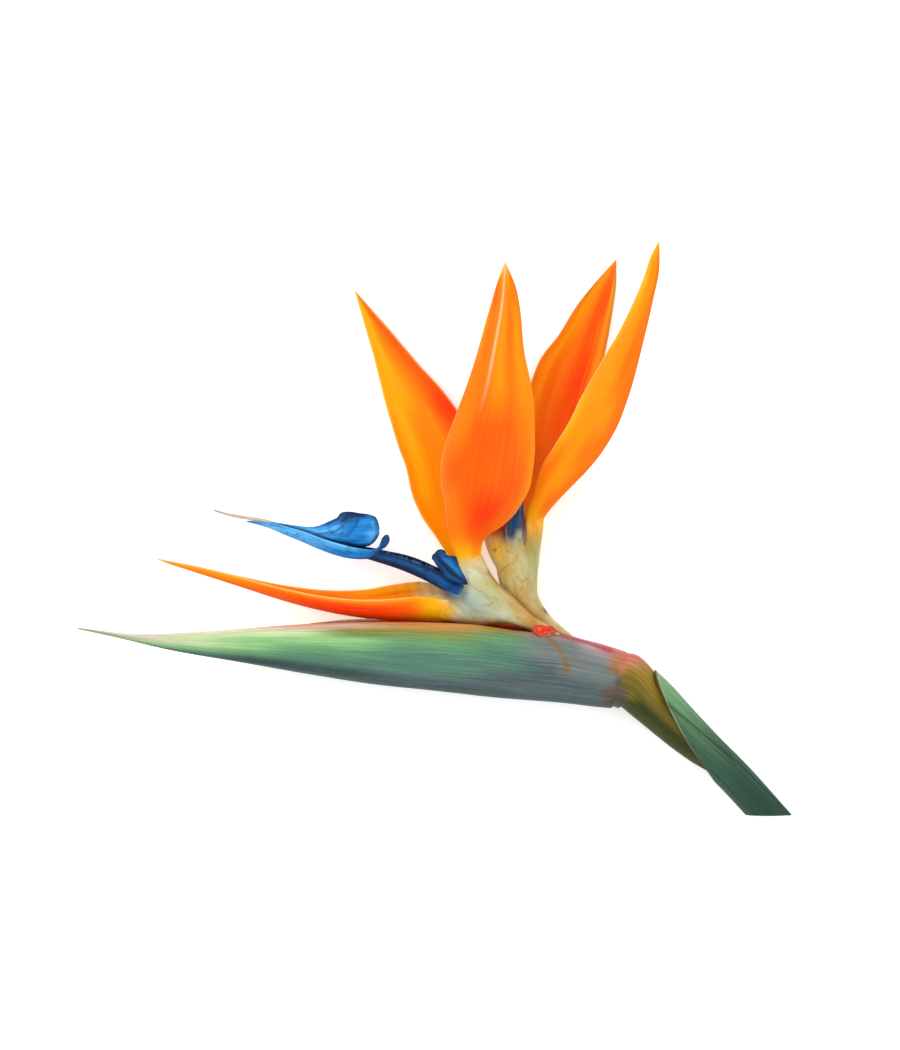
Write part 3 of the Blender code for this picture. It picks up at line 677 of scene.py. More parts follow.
# Each row runs from the keel to the near margin.
SPATHE_CHART = [
    (0.00, "ttttttttt"),
    (0.06, "tteeewwww"),
    (0.13, "vblywwwww"),
    (0.22, "hdblyyyww"),
    (0.32, "hddgllywp"),
    (0.41, "hddbglypx"),
    (0.50, "dddbgljpx"),
    (0.60, "ddsbbgjzx"),
    (0.70, "ddsbbgjzz"),
    (0.78, "ddssbbgjx"),
    (0.87, "ddsssuuqq"),
    (0.91, "ddssuuuqi"),
    (0.94, "ddssuuqii"),
    (0.965, "ndssuuqcc"),
    (0.985, "nnDDuBCcc"),
    (1.00, "nnnDDCccm"),
]
# A brown crease down from the mouth, the scar at its foot, and a magenta line along the margin.
SPATHE_MARKS = [
    (0.75, (0.30, 0.14, 0.02), stroke, [(37, -35.5), (40.5, -39), (42.8, -43), (43.8, -46.3)], 0.8),
    (0.85, (0.26, 0.13, 0.02), blot, 43.2, -45.8, 1.1, 1.5),
    (0.9, LEAF_PALETTE["m"], stroke, [(35, -33.4), (41, -34.7), (51, -37.6), (58, -40.0)], 0.75),
]
# Inside the mouth, from the tip to the stalk: the peach and vivid orange are painted light, brighter than
# the inside's own colour to make up for its shade.
MOUTH_CHART = [
    (0.00, "t"),
    (0.25, "y"),
    (0.40, "p"),
    (0.50, "p"),
    (0.60, "V"),
    (0.68, "V"),
    (0.76, "V"),
    (0.83, "V"),
    (1.00, "m"),
]
STALK_CHART = [
    (0.00, "nnnDDCccm"),
    (0.105, "nnnDDCccm"),
    (0.135, "nnnDoaCcc"),
    (0.19, "nvvooaaaC"),
    (0.25, "nvvvoaaok"),
    (0.32, "nvvvoooko"),
    (0.42, "nvvvoookv"),
    (0.60, "vvvvvovvv"),
    (1.00, "hhvvvvvhh"),
]


def spathe_half(x, margin, outwards, columns):
    """Half of the spathe from keel to margin: each row is an oval arc that ends at the mouth."""
    keel_y = profile(SPATHE_KEEL, x)
    margin_y = profile(margin, x)
    thickness = profile(SPATHE_HALF_THICKNESS, x)
    mouth = profile(SPATHE_MOUTH, x) * (1 if outwards > 0 else FAR_MOUTH)
    belly = thickness * 4 / 3 - mouth / 6
    u = np.linspace(0, 1, columns + 1)[None, :]
    rise = 3 * u**2 * (1 - u) + u**3
    y = keel_y[:, None] + (margin_y - keel_y)[:, None] * rise
    z = belly[:, None] * 3 * u * (1 - u) + mouth[:, None] * u**3
    ahead = profile(SPATHE_SLANT, x)[:, None] * (rise - 0.5)
    return np.stack([x[:, None] + ahead, y, MIDDLE + outwards * z], axis=2)


def spathe_skin(x, columns=SPATHE_COLUMNS):
    """The spathe's outer surface, from the near margin round the keel to the far margin."""
    near = spathe_half(x, SPATHE_NEAR_MARGIN, 1, columns)
    far = spathe_half(x, SPATHE_FAR_MARGIN, -1, columns)
    return np.concatenate([near[:, ::-1], far[:, 1:]], axis=1)


def spathe(finish):
    """The beak: one leaf folded along its keel, ribbed, open along the top where the florets come out."""
    x = SPATHE_TIP + (SPATHE_END - SPATHE_TIP) * np.linspace(0, 1, SPATHE_ROWS)
    outer = spathe_skin(x)
    up = normals(outer)
    share = np.linspace(0, 1, SPATHE_ROWS)[:, None]
    turn = np.linspace(-1, 1, outer.shape[1])[None, :]
    body = step(0, 0.2, share) * step(0, 0.1, 1 - share) * step(0, 0.08, 1 - np.abs(turn))
    ribs = np.sin(turn * 150 + 2 * wave(share, 2.0)) * 0.05 * (0.6 + 0.4 * wave(share * 1.3 + turn, 5.0))
    dents = 0.22 * wave(share + 0.2 * turn, 3.0, (2, 3, 5)) * step(0, 0.5, 1 - np.abs(turn))
    outer = outer + up * ((ribs + dents) * body)[:, :, None]
    margin = step(0.9, 1.0, np.abs(turn))
    outer = outer + UP * (0.3 * wave(share * 1.7, 4.0) * margin * body.max(axis=1)[:, None])[:, :, None]

    up = normals(outer)
    wall = np.minimum(SPATHE_WALL, 0.45 * profile(SPATHE_HALF_THICKNESS, x))[:, None]
    lip = np.sqrt(1 - np.clip((np.abs(turn) - 0.965) / 0.035, 0, 1) ** 2)
    inner = outer - up * (wall * np.maximum(lip, 0.06))[:, :, None]
    rings = np.concatenate([outer, inner[:, ::-1]], axis=1)

    keel_share = 1 - np.abs(turn) + 0 * share
    along = share + 0 * turn
    side = SPATHE_SIDE * np.sign(turn)
    place = np.stack([(turn + 0 * share) * SPATHE_GIRTH, along * SPATHE_LENGTH, side + 0 * share], axis=2)
    paint = chart_colours(SPATHE_CHART, LEAF_PALETTE, along, 1 - keel_share)
    edge_red = step(0.965, 0.995, np.abs(turn)) * step(0.3, 0.42, share) * (0.6 + 0.25 * wave(share, 6.0))
    paint = tinted(paint, edge_red * step(0.14, 0.24, 1 - share), (0.62, 0.05, 0.01))
    paint = marked(paint, outer, SPATHE_MARKS)
    inside = chart_colours(MOUTH_CHART, LEAF_PALETTE, along, 0 * along)
    stain = step(0.1, 0.8, wave(share * 2.3 + turn, 7.0) + 0 * along)
    inside = tinted(inside, 0.3 * stain, LEAF_PALETTE["k"])
    skin = np.concatenate([place, place[:, ::-1] + [0, 0, 40]], axis=1)
    rings_paint = np.concatenate([paint, inside[:, ::-1]], axis=1)
    piece("spathe_skin_mesh", [loft(rings, skin, rings_paint)], finish, "spathe")


def slide_to_cut(grid, route, rows):
    """Slides the last rows along the route until the last one lies on the slanting cut."""
    along = curve(route, np.array([0.95, 1.0]))
    along = along[1] - along[0]
    move = (CUT_Y - grid[-1][:, 1])[:, None] / along[1] * along
    share = np.linspace(0, 1, rows)[:, None, None]
    grid[-rows:] += move[None] * share**2
    return grid


def spathe_reach(centres, angle):
    """How far the spathe's outline is from each centre, in the directions angle, seen along X."""
    reach = np.empty(angle.shape)
    for row, (x, y, _) in enumerate(centres):
        x = np.array([min(x, SPATHE_END)])
        near = spathe_half(x, SPATHE_NEAR_MARGIN, 1, 90)[0]
        far = spathe_half(x, SPATHE_FAR_MARGIN, -1, 90)[0]
        loop = np.concatenate([near, far[::-1]])
        across, up = loop[:, 1] - y, loop[:, 2] - MIDDLE
        turn = np.arctan2(up, across) % (2 * math.pi)
        order = np.argsort(turn)
        reach[row] = np.interp(angle[row], turn[order], np.hypot(across, up)[order], period=2 * math.pi)
    return reach


def flower_stalk(finish):
    """The neck under the spathe, which takes the spathe's outline and turns into a round stalk."""
    count = 96
    at, angle = ring_places(np.linspace(0.05, 1, 240), count)
    end = 1 - STALK_CUT * (1 - np.cos(angle)) / 2
    at = at * (1 - (1 - end) * step(0.3, 0.9, at))
    grid = oval_rings(STALK_ROUTE, STALK_ACROSS, STALK_DEPTH, at, angle)
    centre = curve(STALK_ROUTE, at[:, 0])[:, None]
    radius = np.linalg.norm(grid - centre, axis=2)
    followed = spathe_reach(centre[:, 0], angle) + NECK_RISE - 1.4 * step(0.108, 0.085, at)
    blend = step(0.11, 0.18, at)
    grid = centre + (grid - centre) * ((followed * (1 - blend) + radius * blend) / radius)[:, :, None]
    grid = slide_to_cut(grid, STALK_ROUTE, 8)
    furrows = 0.05 * np.sin(angle * 23 + 3 * wave(at, 2.0)) + 0.12 * wave(at + angle / 9, 3.0, (2, 3, 5))
    centre = grid.mean(axis=1, keepdims=True)
    grid = pushed_out(grid, centre, furrows * step(0.15, 0.25, at) * step(0, 0.08, end - at))

    # Angle 0 is the level side to the left of the route, which faces up the flower.
    share = np.linspace(0, 1, 60)
    top = np.interp((1 + np.cos(angle)) / 2, 3 * share**2 * (1 - share) + share**3, share)
    paint = chart_colours(STALK_CHART, LEAF_PALETTE, at, top)
    rings = np.concatenate([grid, grid[-1:] * 0.985 + centre[-1:] * 0.015], axis=0)
    flesh = np.full((1, count, 3), LEAF_PALETTE["f"])
    skin = limb_skin(STALK_ROUTE, STALK_ACROSS, at, angle)
    skin = np.concatenate([skin, skin[-1:] + [0, 3, 0]], axis=0)
    parts = [loft(rings, skin, np.concatenate([paint, flesh], axis=0))]
    piece("stalk_neck", parts, finish, "flower_stalk")


def sheath_crease(at, angles, width):
    """How near each point is to the crease that winds along the sheath: 1 on it and 0 far away."""
    return np.exp(-((((angles - 1.0) + 0.9 * (at - 0.4)) / width) ** 2)) * step(0.0, 0.2, at)


def stalk_sheath(finish):
    """A leaf rolled round the stalk. Its open end slants from the top of the bend to the underside."""
    count, rows = 120, 130
    shares = np.linspace(0, 1, rows)
    angle = np.linspace(0, 2 * math.pi, count, endpoint=False)
    start = SHEATH_RIM * ((1 - np.cos(angle)) / 2) ** RIM_LEAN
    end = 1 - SHEATH_CUT * (1 - np.cos(angle)) / 2
    walls = []
    for wall in (0, SHEATH_WALL):
        at, angles = ring_places(shares, count, start, end)
        radius = [(t, r - wall) for t, r in SHEATH_RADIUS]
        grid = oval_rings(SHEATH_ROUTE, radius, radius, at, angles)
        grid = slide_to_cut(grid, SHEATH_ROUTE, 6)
        centre = curve(SHEATH_ROUTE, at.ravel()).reshape(*at.shape, 3)
        ribs = 0.06 * np.sin(angles * 34 + 2 * wave(at, 3.0)) * step(0, 0.1, shares)[:, None]
        groove = -0.45 * sheath_crease(at, angles, 0.07)
        walls.append(pushed_out(grid, centre, (ribs + groove) * (1 - 0.5 * (wall > 0))))
    outer, inner = walls
    rings = np.concatenate([inner[::-1], outer], axis=0)

    from_rim = (at - start[None, :]) * SHEATH_LENGTH
    # Along the rim the leaf is bleached and then brown at the very edge.
    green = np.array(LEAF_PALETTE["h"]) + 0 * at[..., None]
    light = np.array([0.20, 0.40, 0.18])
    upper = (1 + np.cos(angles)) / 2
    paint = tinted(green, 0.85 * step(0.35, 0.95, upper) * step(38, 4, from_rim), light)
    paint = tinted(paint, 0.5 * step(0.4, 0.0, upper), LEAF_PALETTE["d"])
    paint = tinted(paint, 0.85 * step(0.45, 1.0, at), np.array(LEAF_PALETTE["h"]) * [0.35, 0.55, 0.55])
    paint = tinted(paint, 0.7 * step(2.2, 0.8, from_rim) * step(0.15, 0.6, upper), LEAF_PALETTE["e"])
    paint = tinted(paint, step(0.8, 0.4, from_rim), (0.12, 0.075, 0.025))
    paint = tinted(paint, 0.7 * sheath_crease(at, angles, 0.06), (0.02, 0.035, 0.015))
    inside = np.full(paint.shape, 0.0) + np.array([0.16, 0.17, 0.07])
    skin = limb_skin(SHEATH_ROUTE, SHEATH_RADIUS, at, angles)
    skins = np.concatenate([skin[::-1] + [0, 0, 30], skin], axis=0)
    paints = np.concatenate([inside[::-1], paint], axis=0)
    parts = [closed_sleeve(rings, skins, paints)]
    piece("sheath_leaf", parts, finish, "stalk_sheath")


def closed_sleeve(rings, skin, paint):
    """A loft whose last ring joins its first, as round the wall of a tube."""
    rows, columns = rings.shape[:2]
    faces, places = ring_faces(np.arange(rows + 1) / rows, columns, rows)
    return rings.reshape(-1, 3), faces, places, skin.reshape(-1, 3), paint.reshape(-1, 3)


# ---------------------------------------------------------------- florets

# A floret's base is its limb and the roots that run from it into the sepals and petals, melted together.
FIRST_BASE = [
    {
        "route": [
            (49.5, -44.5, 13.2), (43.0, -39.0, 13.8), (37.0, -34.0, 14.4), (31.3, -31.0, 14.6),
            (26.3, -28.0, 14.2), (21.3, -25.2, 13.6), (15.5, -23.0, 13.0), (9.5, -22.0, 12.4),
        ],
        "across": [(0, 2.0), (0.3, 2.1), (0.47, 2.4), (0.59, 3.4), (0.7, 5.0), (0.83, 6.9), (1, 6.0)],
        "depth": [(0, 2.0), (0.3, 2.2), (0.47, 2.6), (0.7, 4.2), (0.9, 4.8), (1, 3.6)],
    },
    {
        "route": [
            (24.0, -26.5, 13.8), (18.5, -21.8, 14.6), (15.0, -17.0, 15.2), (13.2, -12.5, 16.4),
            (12.4, -8.5, 17.6),
        ],
        "across": [(0, 3.2), (0.3, 4.6), (0.6, 4.3), (0.85, 3.6), (1, 2.6)],
        "depth": [(0, 3.0), (0.3, 3.8), (0.6, 3.3), (0.85, 2.6), (1, 1.6)],
    },
    {
        "route": [
            (24.0, -27.5, 13.4), (16.0, -27.4, 12.6), (9.0, -26.6, 11.8), (3.0, -25.8, 11.2),
            (-4.0, -25.6, 10.9),
        ],
        "across": [(0, 3.0), (0.25, 4.4), (0.6, 5.0), (0.8, 4.4), (1, 2.8)],
        "depth": [(0, 3.0), (0.25, 4.2), (0.6, 4.2), (0.8, 3.4), (1, 2.2)],
    },
    {
        "route": [(18.0, -24.0, 13.2), (12.0, -22.6, 12.6), (7.5, -21.0, 11.4), (4.0, -19.6, 11.0)],
        "across": [(0, 4.0), (0.4, 5.2), (0.75, 4.2), (1, 2.4)],
        "depth": [(0, 3.6), (0.4, 4.0), (0.75, 2.4), (1, 1.2)],
    },
]
SECOND_BASE = [
    {
        "route": [
            (50.5, -43.0, 8.2), (46.3, -38.6, 7.7), (40.2, -33.4, 7.4), (34.7, -28.9, 7.6),
            (30.8, -24.4, 8.4), (28.2, -19.0, 9.4), (27.0, -12.5, 10.4), (26.6, -4.0, 11.4),
        ],
        "across": [(0, 2.0), (0.3, 2.1), (0.45, 3.1), (0.57, 4.3), (0.68, 5.9), (0.82, 6.8), (1, 4.6)],
        "depth": [(0, 2.0), (0.3, 2.2), (0.45, 2.9), (0.62, 4.2), (0.8, 5.0), (1, 3.8)],
    },
    {
        "route": [
            (29.0, -19.0, 9.4), (30.0, -12.0, 10.6), (30.9, -5.0, 12.0), (31.8, 0.5, 13.2),
            (33.6, 5.0, 14.4),
        ],
        "across": [(0, 3.6), (0.35, 4.2), (0.7, 4.2), (0.85, 3.8), (1, 2.6)],
        "depth": [(0, 3.6), (0.35, 4.2), (0.7, 3.4), (0.85, 2.8), (1, 1.6)],
    },
    {
        "route": [
            (27.0, -17.0, 9.8), (24.3, -11.5, 11.0), (21.4, -6.0, 12.2), (19.4, -1.5, 13.0),
            (18.4, 3.0, 13.6),
        ],
        "across": [(0, 3.6), (0.35, 4.3), (0.6, 4.2), (0.8, 3.8), (1, 2.4)],
        "depth": [(0, 3.6), (0.35, 4.0), (0.6, 3.4), (0.8, 2.8), (1, 1.6)],
    },
    {
        "route": [(27.0, -14.0, 10.2), (26.6, -6.0, 11.8), (26.6, 0.5, 13.0), (27.0, 5.0, 13.6)],
        "across": [(0, 4.0), (0.5, 4.4), (0.8, 3.8), (1, 2.4)],
        "depth": [(0, 3.8), (0.5, 4.0), (0.8, 3.4), (1, 2.0)],
    },
]
FLESH_VOXEL = 0.36
FLESH_ROUNDS = 14  # of smoothing

FIRST_NEAR_SEPAL = {
    "midrib": [
        (13.2, -19.0, 15.0), (11.6, -11.5, 17.8), (11.0, -3.3, 21.6), (14.9, 9.9, 28.5),
        (17.8, 26.3, 33.5), (20.4, 42.6, 36.0), (21.3, 58.9, 37.0), (22.5, 75.3, 36.6),
        (22.7, 87.6, 35.6),
    ],
    "left": {
        "width": [
            (0, 3.4), (0.08, 3.9), (0.14, 5.8), (0.26, 11.6), (0.325, 14.0), (0.39, 15.2),
            (0.47, 14.3), (0.57, 12.2), (0.75, 7.2), (0.92, 3.2), (1, 0.15),
        ],
        "lift": [(0, -1.6), (0.14, -1.8), (0.35, -7.0), (0.6, -5.0), (1, -0.05)],
        "bow": 0.12,
    },
    "right": {
        "width": [
            (0, 3.4), (0.08, 3.6), (0.13, 4.2), (0.18, 5.6), (0.235, 9.0), (0.3, 12.9), (0.37, 15.0),
            (0.45, 14.8), (0.57, 12.3), (0.75, 7.6), (0.92, 3.9), (1, 0.15),
        ],
        "lift": [(0, -1.6), (0.14, -1.8), (0.35, -7.0), (0.6, -5.0), (1, -0.05)],
        "bow": 0.12,
    },
    "seed": 1.3,
    "ripple": 0.16,
    "folds": [
        (0.5, 1.0, -0.42, -0.05, 0.05, 0.35),
        (0.3, 0.95, 0.3, 0.45, 0.16, -0.5),
        (0.15, 0.6, -0.45, -0.3, 0.18, -0.3),
        (0.55, 1.0, 0.12, 0.2, 0.1, 0.25),
    ],
}
FIRST_NEAR_CHART = [
    (0.00, "ccccccc"),
    (0.06, "ycccccy"),
    (0.11, "yyyyggy"),
    (0.17, "ooodddo"),
    (0.25, "oodrrdo"),
    (0.37, "odddddg"),
    (0.50, "oodddog"),
    (0.65, "ooogogg"),
    (0.82, "googogo"),
    (0.95, "gogggoo"),
    (1.00, "wwwwwgg"),
]
FIRST_FAR_SEPAL = {
    "midrib": [
        (10.5, -18.0, 8.0), (9.0, -11.5, 7.4), (8.0, -3.3, 6.8), (6.3, 10.0, 5.2), (3.0, 26.8, 3.6),
        (-3.7, 40.9, 2.4), (-11.1, 51.6, 1.6), (-17.1, 61.0, 1.1), (-27.2, 80.2, 0.5),
    ],
    "left": {
        "width": [
            (0, 2.5), (0.07, 3.6), (0.14, 6.9), (0.24, 12.2), (0.33, 14.2),
            (0.46, 14.3), (0.6, 12.0), (0.72, 7.5), (0.82, 4.0), (1, 0.12),
        ],
        "lift": [(0, 1.0), (0.3, 3.0), (0.46, 3.4), (0.72, 1.6), (1, 0.02)],
        "bow": -0.09,
    },
    "right": {
        "width": [
            (0, 2.4), (0.1, 3.0), (0.2, 5.0), (0.3, 8.0), (0.46, 9.6),
            (0.6, 7.8), (0.72, 6.3), (0.82, 4.8), (1, 0.12),
        ],
        "lift": [(0, 1.0), (0.3, 2.2), (0.46, 3.0), (0.72, 2.4), (1, 0.02)],
        "bow": -0.09,
    },
    "seed": 2.1,
    "ripple": 0.14,
    "folds": [
        (0.2, 0.98, 0.0, 0.05, 0.12, -0.5),
        (0.3, 0.7, 0.5, 0.5, 0.08, 0.3),
        (0.25, 0.8, -0.55, -0.5, 0.2, 0.35),
    ],
}
# Golden and yellow on the left half, deep and red-orange on the right: partly its own tone, partly painted
# light on the left and painted shade on the right of its channel.
FIRST_FAR_CHART = [
    (0.00, "ccccccc"),
    (0.08, "yyyyyyy"),
    (0.18, "ggggggo"),
    (0.35, "gyggood"),
    (0.42, "gyggodr"),
    (0.54, "gyggdrr"),
    (0.66, "yyygodd"),
    (0.82, "yyygodd"),
    (0.94, "yyyyodo"),
    (1.00, "wyyggoo"),
]
FIRST_KEEL_SEPAL = {
    "midrib": [
        (12.5, -28.2, 10.8), (6.3, -29.3, 10.8), (-2.0, -30.1, 10.8), (-12.0, -30.2, 10.8),
        (-26.0, -28.7, 10.8), (-38.7, -26.3, 10.9), (-52.0, -22.8, 11.2), (-65.3, -18.5, 11.6),
        (-78.6, -14.2, 12.0), (-93.2, -9.5, 12.6),
    ],
    "left": {
        "width": [
            (0, -3.5), (0.08, -10.5), (0.17, -13.0), (0.24, -12.2), (0.36, -8.8),
            (0.48, -6.4), (0.62, -4.4), (0.75, -2.9), (0.87, -1.8), (1, -0.12),
        ],
        "lift": [(0, -2.0), (0.17, -4.6), (0.36, -4.2), (0.62, -2.4), (1, -0.05)],
        "bow": 0.16,
    },
    "right": {
        "width": [
            (0, 3.0), (0.08, 6.5), (0.17, 8.2), (0.24, 7.4), (0.36, 5.6),
            (0.48, 4.4), (0.62, 3.5), (0.75, 2.7), (0.87, 1.7), (1, 0.12),
        ],
        "lift": [(0, 2.0), (0.17, 4.8), (0.36, 4.6), (0.62, 2.6), (1, 0.05)],
        "bow": 0.16,
    },
    "seed": 3.4,
    "ripple": 0.22,
    "folds": [
        (0.05, 0.35, -0.8, -0.7, 0.07, 0.7),
        (0.02, 0.28, -0.6, -0.5, 0.06, -0.6),
        (0.2, 0.9, 0.45, 0.5, 0.12, 0.25),
    ],
}
FIRST_KEEL_CHART = [
    (0.00, "ccccccc"),
    (0.06, "ccyyyyc"),
    (0.12, "ccygyyy"),
    (0.20, "ygydddg"),
    (0.32, "ygorrrg"),
    (0.45, "gogrrrg"),
    (0.62, "goorddg"),
    (0.80, "gggdogg"),
    (1.00, "ggggggg"),
]
SECOND_NEAR_SEPAL = {
    "midrib": [
        (31.0, -5.0, 10.2), (33.4, 0.2, 13.2), (36.0, 4.8, 15.2), (39.6, 9.3, 16.8), (44.2, 14.2, 18.4),
        (49.4, 19.6, 19.9), (54.6, 26.0, 21.3), (59.2, 33.6, 22.4), (62.9, 43.0, 23.3),
        (66.0, 53.6, 23.9), (68.7, 64.6, 24.2), (71.3, 75.8, 24.2), (73.4, 86.2, 24.0),
        (73.5, 95.25, 23.8),
    ],
    "left": {
        "width": [
            (0, 3.2), (0.07, 4.8), (0.13, 7.0), (0.22, 11.8), (0.34, 13.9), (0.46, 14.6),
            (0.6, 12.0), (0.72, 8.2), (0.85, 5.0), (0.94, 3.3), (1, 0.12),
        ],
        "lift": [(0, 0.2), (0.2, 2.2), (0.46, 2.6), (0.72, 1.4), (1, 0.02)],
        "bow": 0.16,
    },
    "right": {
        "width": [
            (0, -1.5), (0.07, -2.4), (0.22, -6.6), (0.46, -8.5), (0.72, -4.6), (0.9, -1.8), (1, -0.12),
        ],
        "lift": [
            (0, -1.2), (0.07, -2.2), (0.22, -5.0), (0.46, -8.0), (0.72, -4.8), (0.9, -2.0), (1, -0.05),
        ],
        "bow": 0.12,
    },
    "seed": 4.7,
    "ripple": 0.16,
    "folds": [
        (0.15, 0.8, -0.3, -0.4, 0.12, -0.4),
        (0.3, 0.95, -0.65, -0.6, 0.1, 0.3),
    ],
}
# Yellow at the left margin, deepening to orange at the midrib: partly its own tone, partly painted light on
# the lit side and painted shade towards the keel.
SECOND_NEAR_CHART = [
    (0.00, "yyyyyyyyyy"),
    (0.07, "yyyyyyyyyy"),
    (0.12, "gggoogyyyy"),
    (0.22, "goggoooooo"),
    (0.34, "yggoodoooo"),
    (0.46, "ygggodoooo"),
    (0.58, "gggoodoooo"),
    (0.72, "yggoodoooo"),
    (0.86, "yyggoooooo"),
    (0.94, "yyggoooooo"),
    (1.00, "wyyyggoooo"),
]
SECOND_FAR_SEPAL = {
    "midrib": [
        (29.5, -7.5, 8.6), (31.4, 0.0, 7.6), (36.4, 16.7, 5.4), (39.1, 28.4, 4.0), (42.2, 40.2, 2.9),
        (45.5, 50.9, 2.2), (49.9, 62.0, 1.6), (53.6, 72.1, 1.2), (57.3, 82.2, 0.9), (60.4, 90.7, 0.5),
    ],
    "left": {
        "width": [
            (0, 2.0), (0.1, 3.0), (0.24, 8.0), (0.36, 11.0), (0.48, 12.7),
            (0.59, 12.3), (0.7, 9.6), (0.81, 7.3), (0.92, 3.4), (1, 0.12),
        ],
        "lift": [(0, 0.6), (0.24, 1.6), (0.48, 2.6), (0.7, 1.8), (1, 0.02)],
        "bow": -0.07,
    },
    "right": {
        "width": [
            (0, 2.0), (0.1, 2.6), (0.24, 6.0), (0.36, 8.0), (0.48, 9.0),
            (0.59, 8.7), (0.7, 7.3), (0.81, 5.3), (0.92, 2.9), (1, 0.12),
        ],
        "lift": [(0, 0.6), (0.24, 1.8), (0.48, 3.4), (0.7, 3.0), (1, 0.02)],
        "bow": -0.09,
    },
    "seed": 5.2,
    "ripple": 0.14,
    "folds": [
        (0.3, 1.0, 0.55, 0.3, 0.07, 0.7),
        (0.3, 0.95, 0.2, 0.05, 0.16, -0.5),
        (0.35, 0.95, -0.7, -0.6, 0.07, 0.3),
        (0.35, 0.85, -0.4, -0.35, 0.07, -0.3),
    ],
}
# Brown at both margins towards the tip; along the right margin this is painted shade where the far half
# folds back.
SECOND_FAR_CHART = [
    (0.00, "ccccccccc"),
    (0.12, "ggggggggg"),
    (0.30, "ooooooooo"),
    (0.45, "ogoodddoo"),
    (0.60, "ogoodrdgo"),
    (0.75, "oggoddogb"),
    (0.90, "bggodddgb"),
    (1.00, "bgggoogbb"),
]
SECOND_KEEL_SEPAL = {
    "midrib": [
        (24.0, -6.5, 9.6), (20.6, -1.0, 11.6), (16.4, 5.5, 13.8), (13.0, 16.5, 15.4),
        (12.6, 30.0, 15.6), (13.8, 43.0, 15.8), (15.8, 56.0, 16.0), (18.4, 68.0, 16.4),
    ],
    "left": {
        "width": [(0, -1.5), (0.12, -4.6), (0.3, -7.4), (0.5, -6.6), (0.75, -3.4), (1, -0.12)],
        "lift": [(0, -0.8), (0.3, -3.6), (0.5, -3.4), (0.75, -2.0), (1, -0.05)],
        "bow": 0.14,
    },
    "right": {
        "width": [(0, 1.5), (0.12, 4.4), (0.3, 7.0), (0.5, 6.2), (0.75, 3.2), (1, 0.12)],
        "lift": [(0, 0.8), (0.3, 3.6), (0.5, 3.4), (0.75, 2.0), (1, 0.05)],
        "bow": 0.14,
    },
    "seed": 6.1,
    "ripple": 0.14,
    "folds": [(0.2, 0.9, 0.5, 0.5, 0.1, 0.25)],
}
SECOND_KEEL_CHART = [
    (0.00, "bbbbbbb"),
    (0.10, "rbrrrrr"),
    (0.25, "ggodogg"),
    (0.60, "googodg"),
    (1.00, "ggggggg"),
]

ARROW_KEEL = [
    (10.0, -24.0, 12.4), (4.5, -21.2, 12.0), (-2.0, -17.6, 11.2), (-12.0, -13.1, 10.8),
    (-18.7, -10.8, 10.8), (-26.0, -8.6, 11.4), (-30.0, -7.6, 12.4),
]
NEAR_CLAW = {
    "midrib": ARROW_KEEL,
    "right": {
        "width": [(0, 4.6), (0.25, 4.8), (0.45, 4.4), (0.7, 3.5), (0.88, 2.6), (1, 1.2)],
        "lift": [(0, 0.8), (0.6, 0.9), (0.85, 1.4), (1, 0.8)],
        "bow": 0.3,
    },
    "seed": 1.7,
    "ripple": 0.1,
    "folds": [(0.0, 1.0, 0.8, 0.8, 0.06, -0.35), (0.1, 0.9, 0.45, 0.5, 0.1, 0.2)],
}
FAR_CLAW = {
    "midrib": ARROW_KEEL,
    "left": {
        "width": [(0, -4.8), (0.25, -5.7), (0.45, -5.5), (0.7, -4.4), (0.88, -3.4), (1, -1.6)],
        "lift": [(0, -0.5), (0.6, -0.6), (0.85, -0.9), (1, -0.8)],
        "bow": 0.3,
    },
    "seed": 2.9,
    "ripple": 0.16,
    "folds": [(0.0, 1.0, -0.75, -0.75, 0.07, 0.3)],
}
NEAR_HEAD = {
    "midrib": [
        (-16.2, -1.6, 17.2), (-16.6, -3.0, 17.3), (-17.6, -4.9, 16.9), (-19.3, -6.6, 16.0),
        (-22.0, -7.7, 15.0), (-25.4, -7.8, 14.5), (-29.4, -7.2, 14.3), (-34.0, -6.0, 14.1),
        (-39.0, -4.3, 13.8), (-44.2, -2.2, 13.5), (-49.3, -0.4, 13.2), (-54.2, 1.3, 12.8),
        (-58.6, 2.3, 12.4), (-63.0, 2.8, 12.1),
    ],
    "left": {
        "width": [(0, 0.5), (0.03, 1.35), (0.06, 1.3), (0.1, 0.75), (0.14, 0.9), (0.2, 1.7),
                  (0.35, 2.0), (0.6, 1.7), (0.8, 1.2), (1, 0.12)],
        "lift": [(0, -0.1), (0.12, -0.3), (0.25, -1.6), (0.5, -1.8), (0.8, -1.0), (1, -0.05)],
        "bow": 0.12,
    },
    "right": {
        "width": [(0, 0.5), (0.03, 1.3), (0.06, 1.2), (0.1, 0.7), (0.14, 0.8), (0.2, 1.5),
                  (0.35, 1.9), (0.6, 1.7), (0.8, 1.1), (1, 0.12)],
        "lift": [(0, 0.0), (0.12, 0.1), (0.25, 0.6), (0.5, 0.8), (0.8, 0.3), (1, 0.02)],
        "bow": 0.14,
    },
    "seed": 1.1,
    "ripple": 0.1,
    "folds": [
        (0.12, 0.95, 0.3, 0.2, 0.14, 0.22),
        (0.15, 0.9, -0.3, -0.35, 0.12, -0.2),
    ],
}
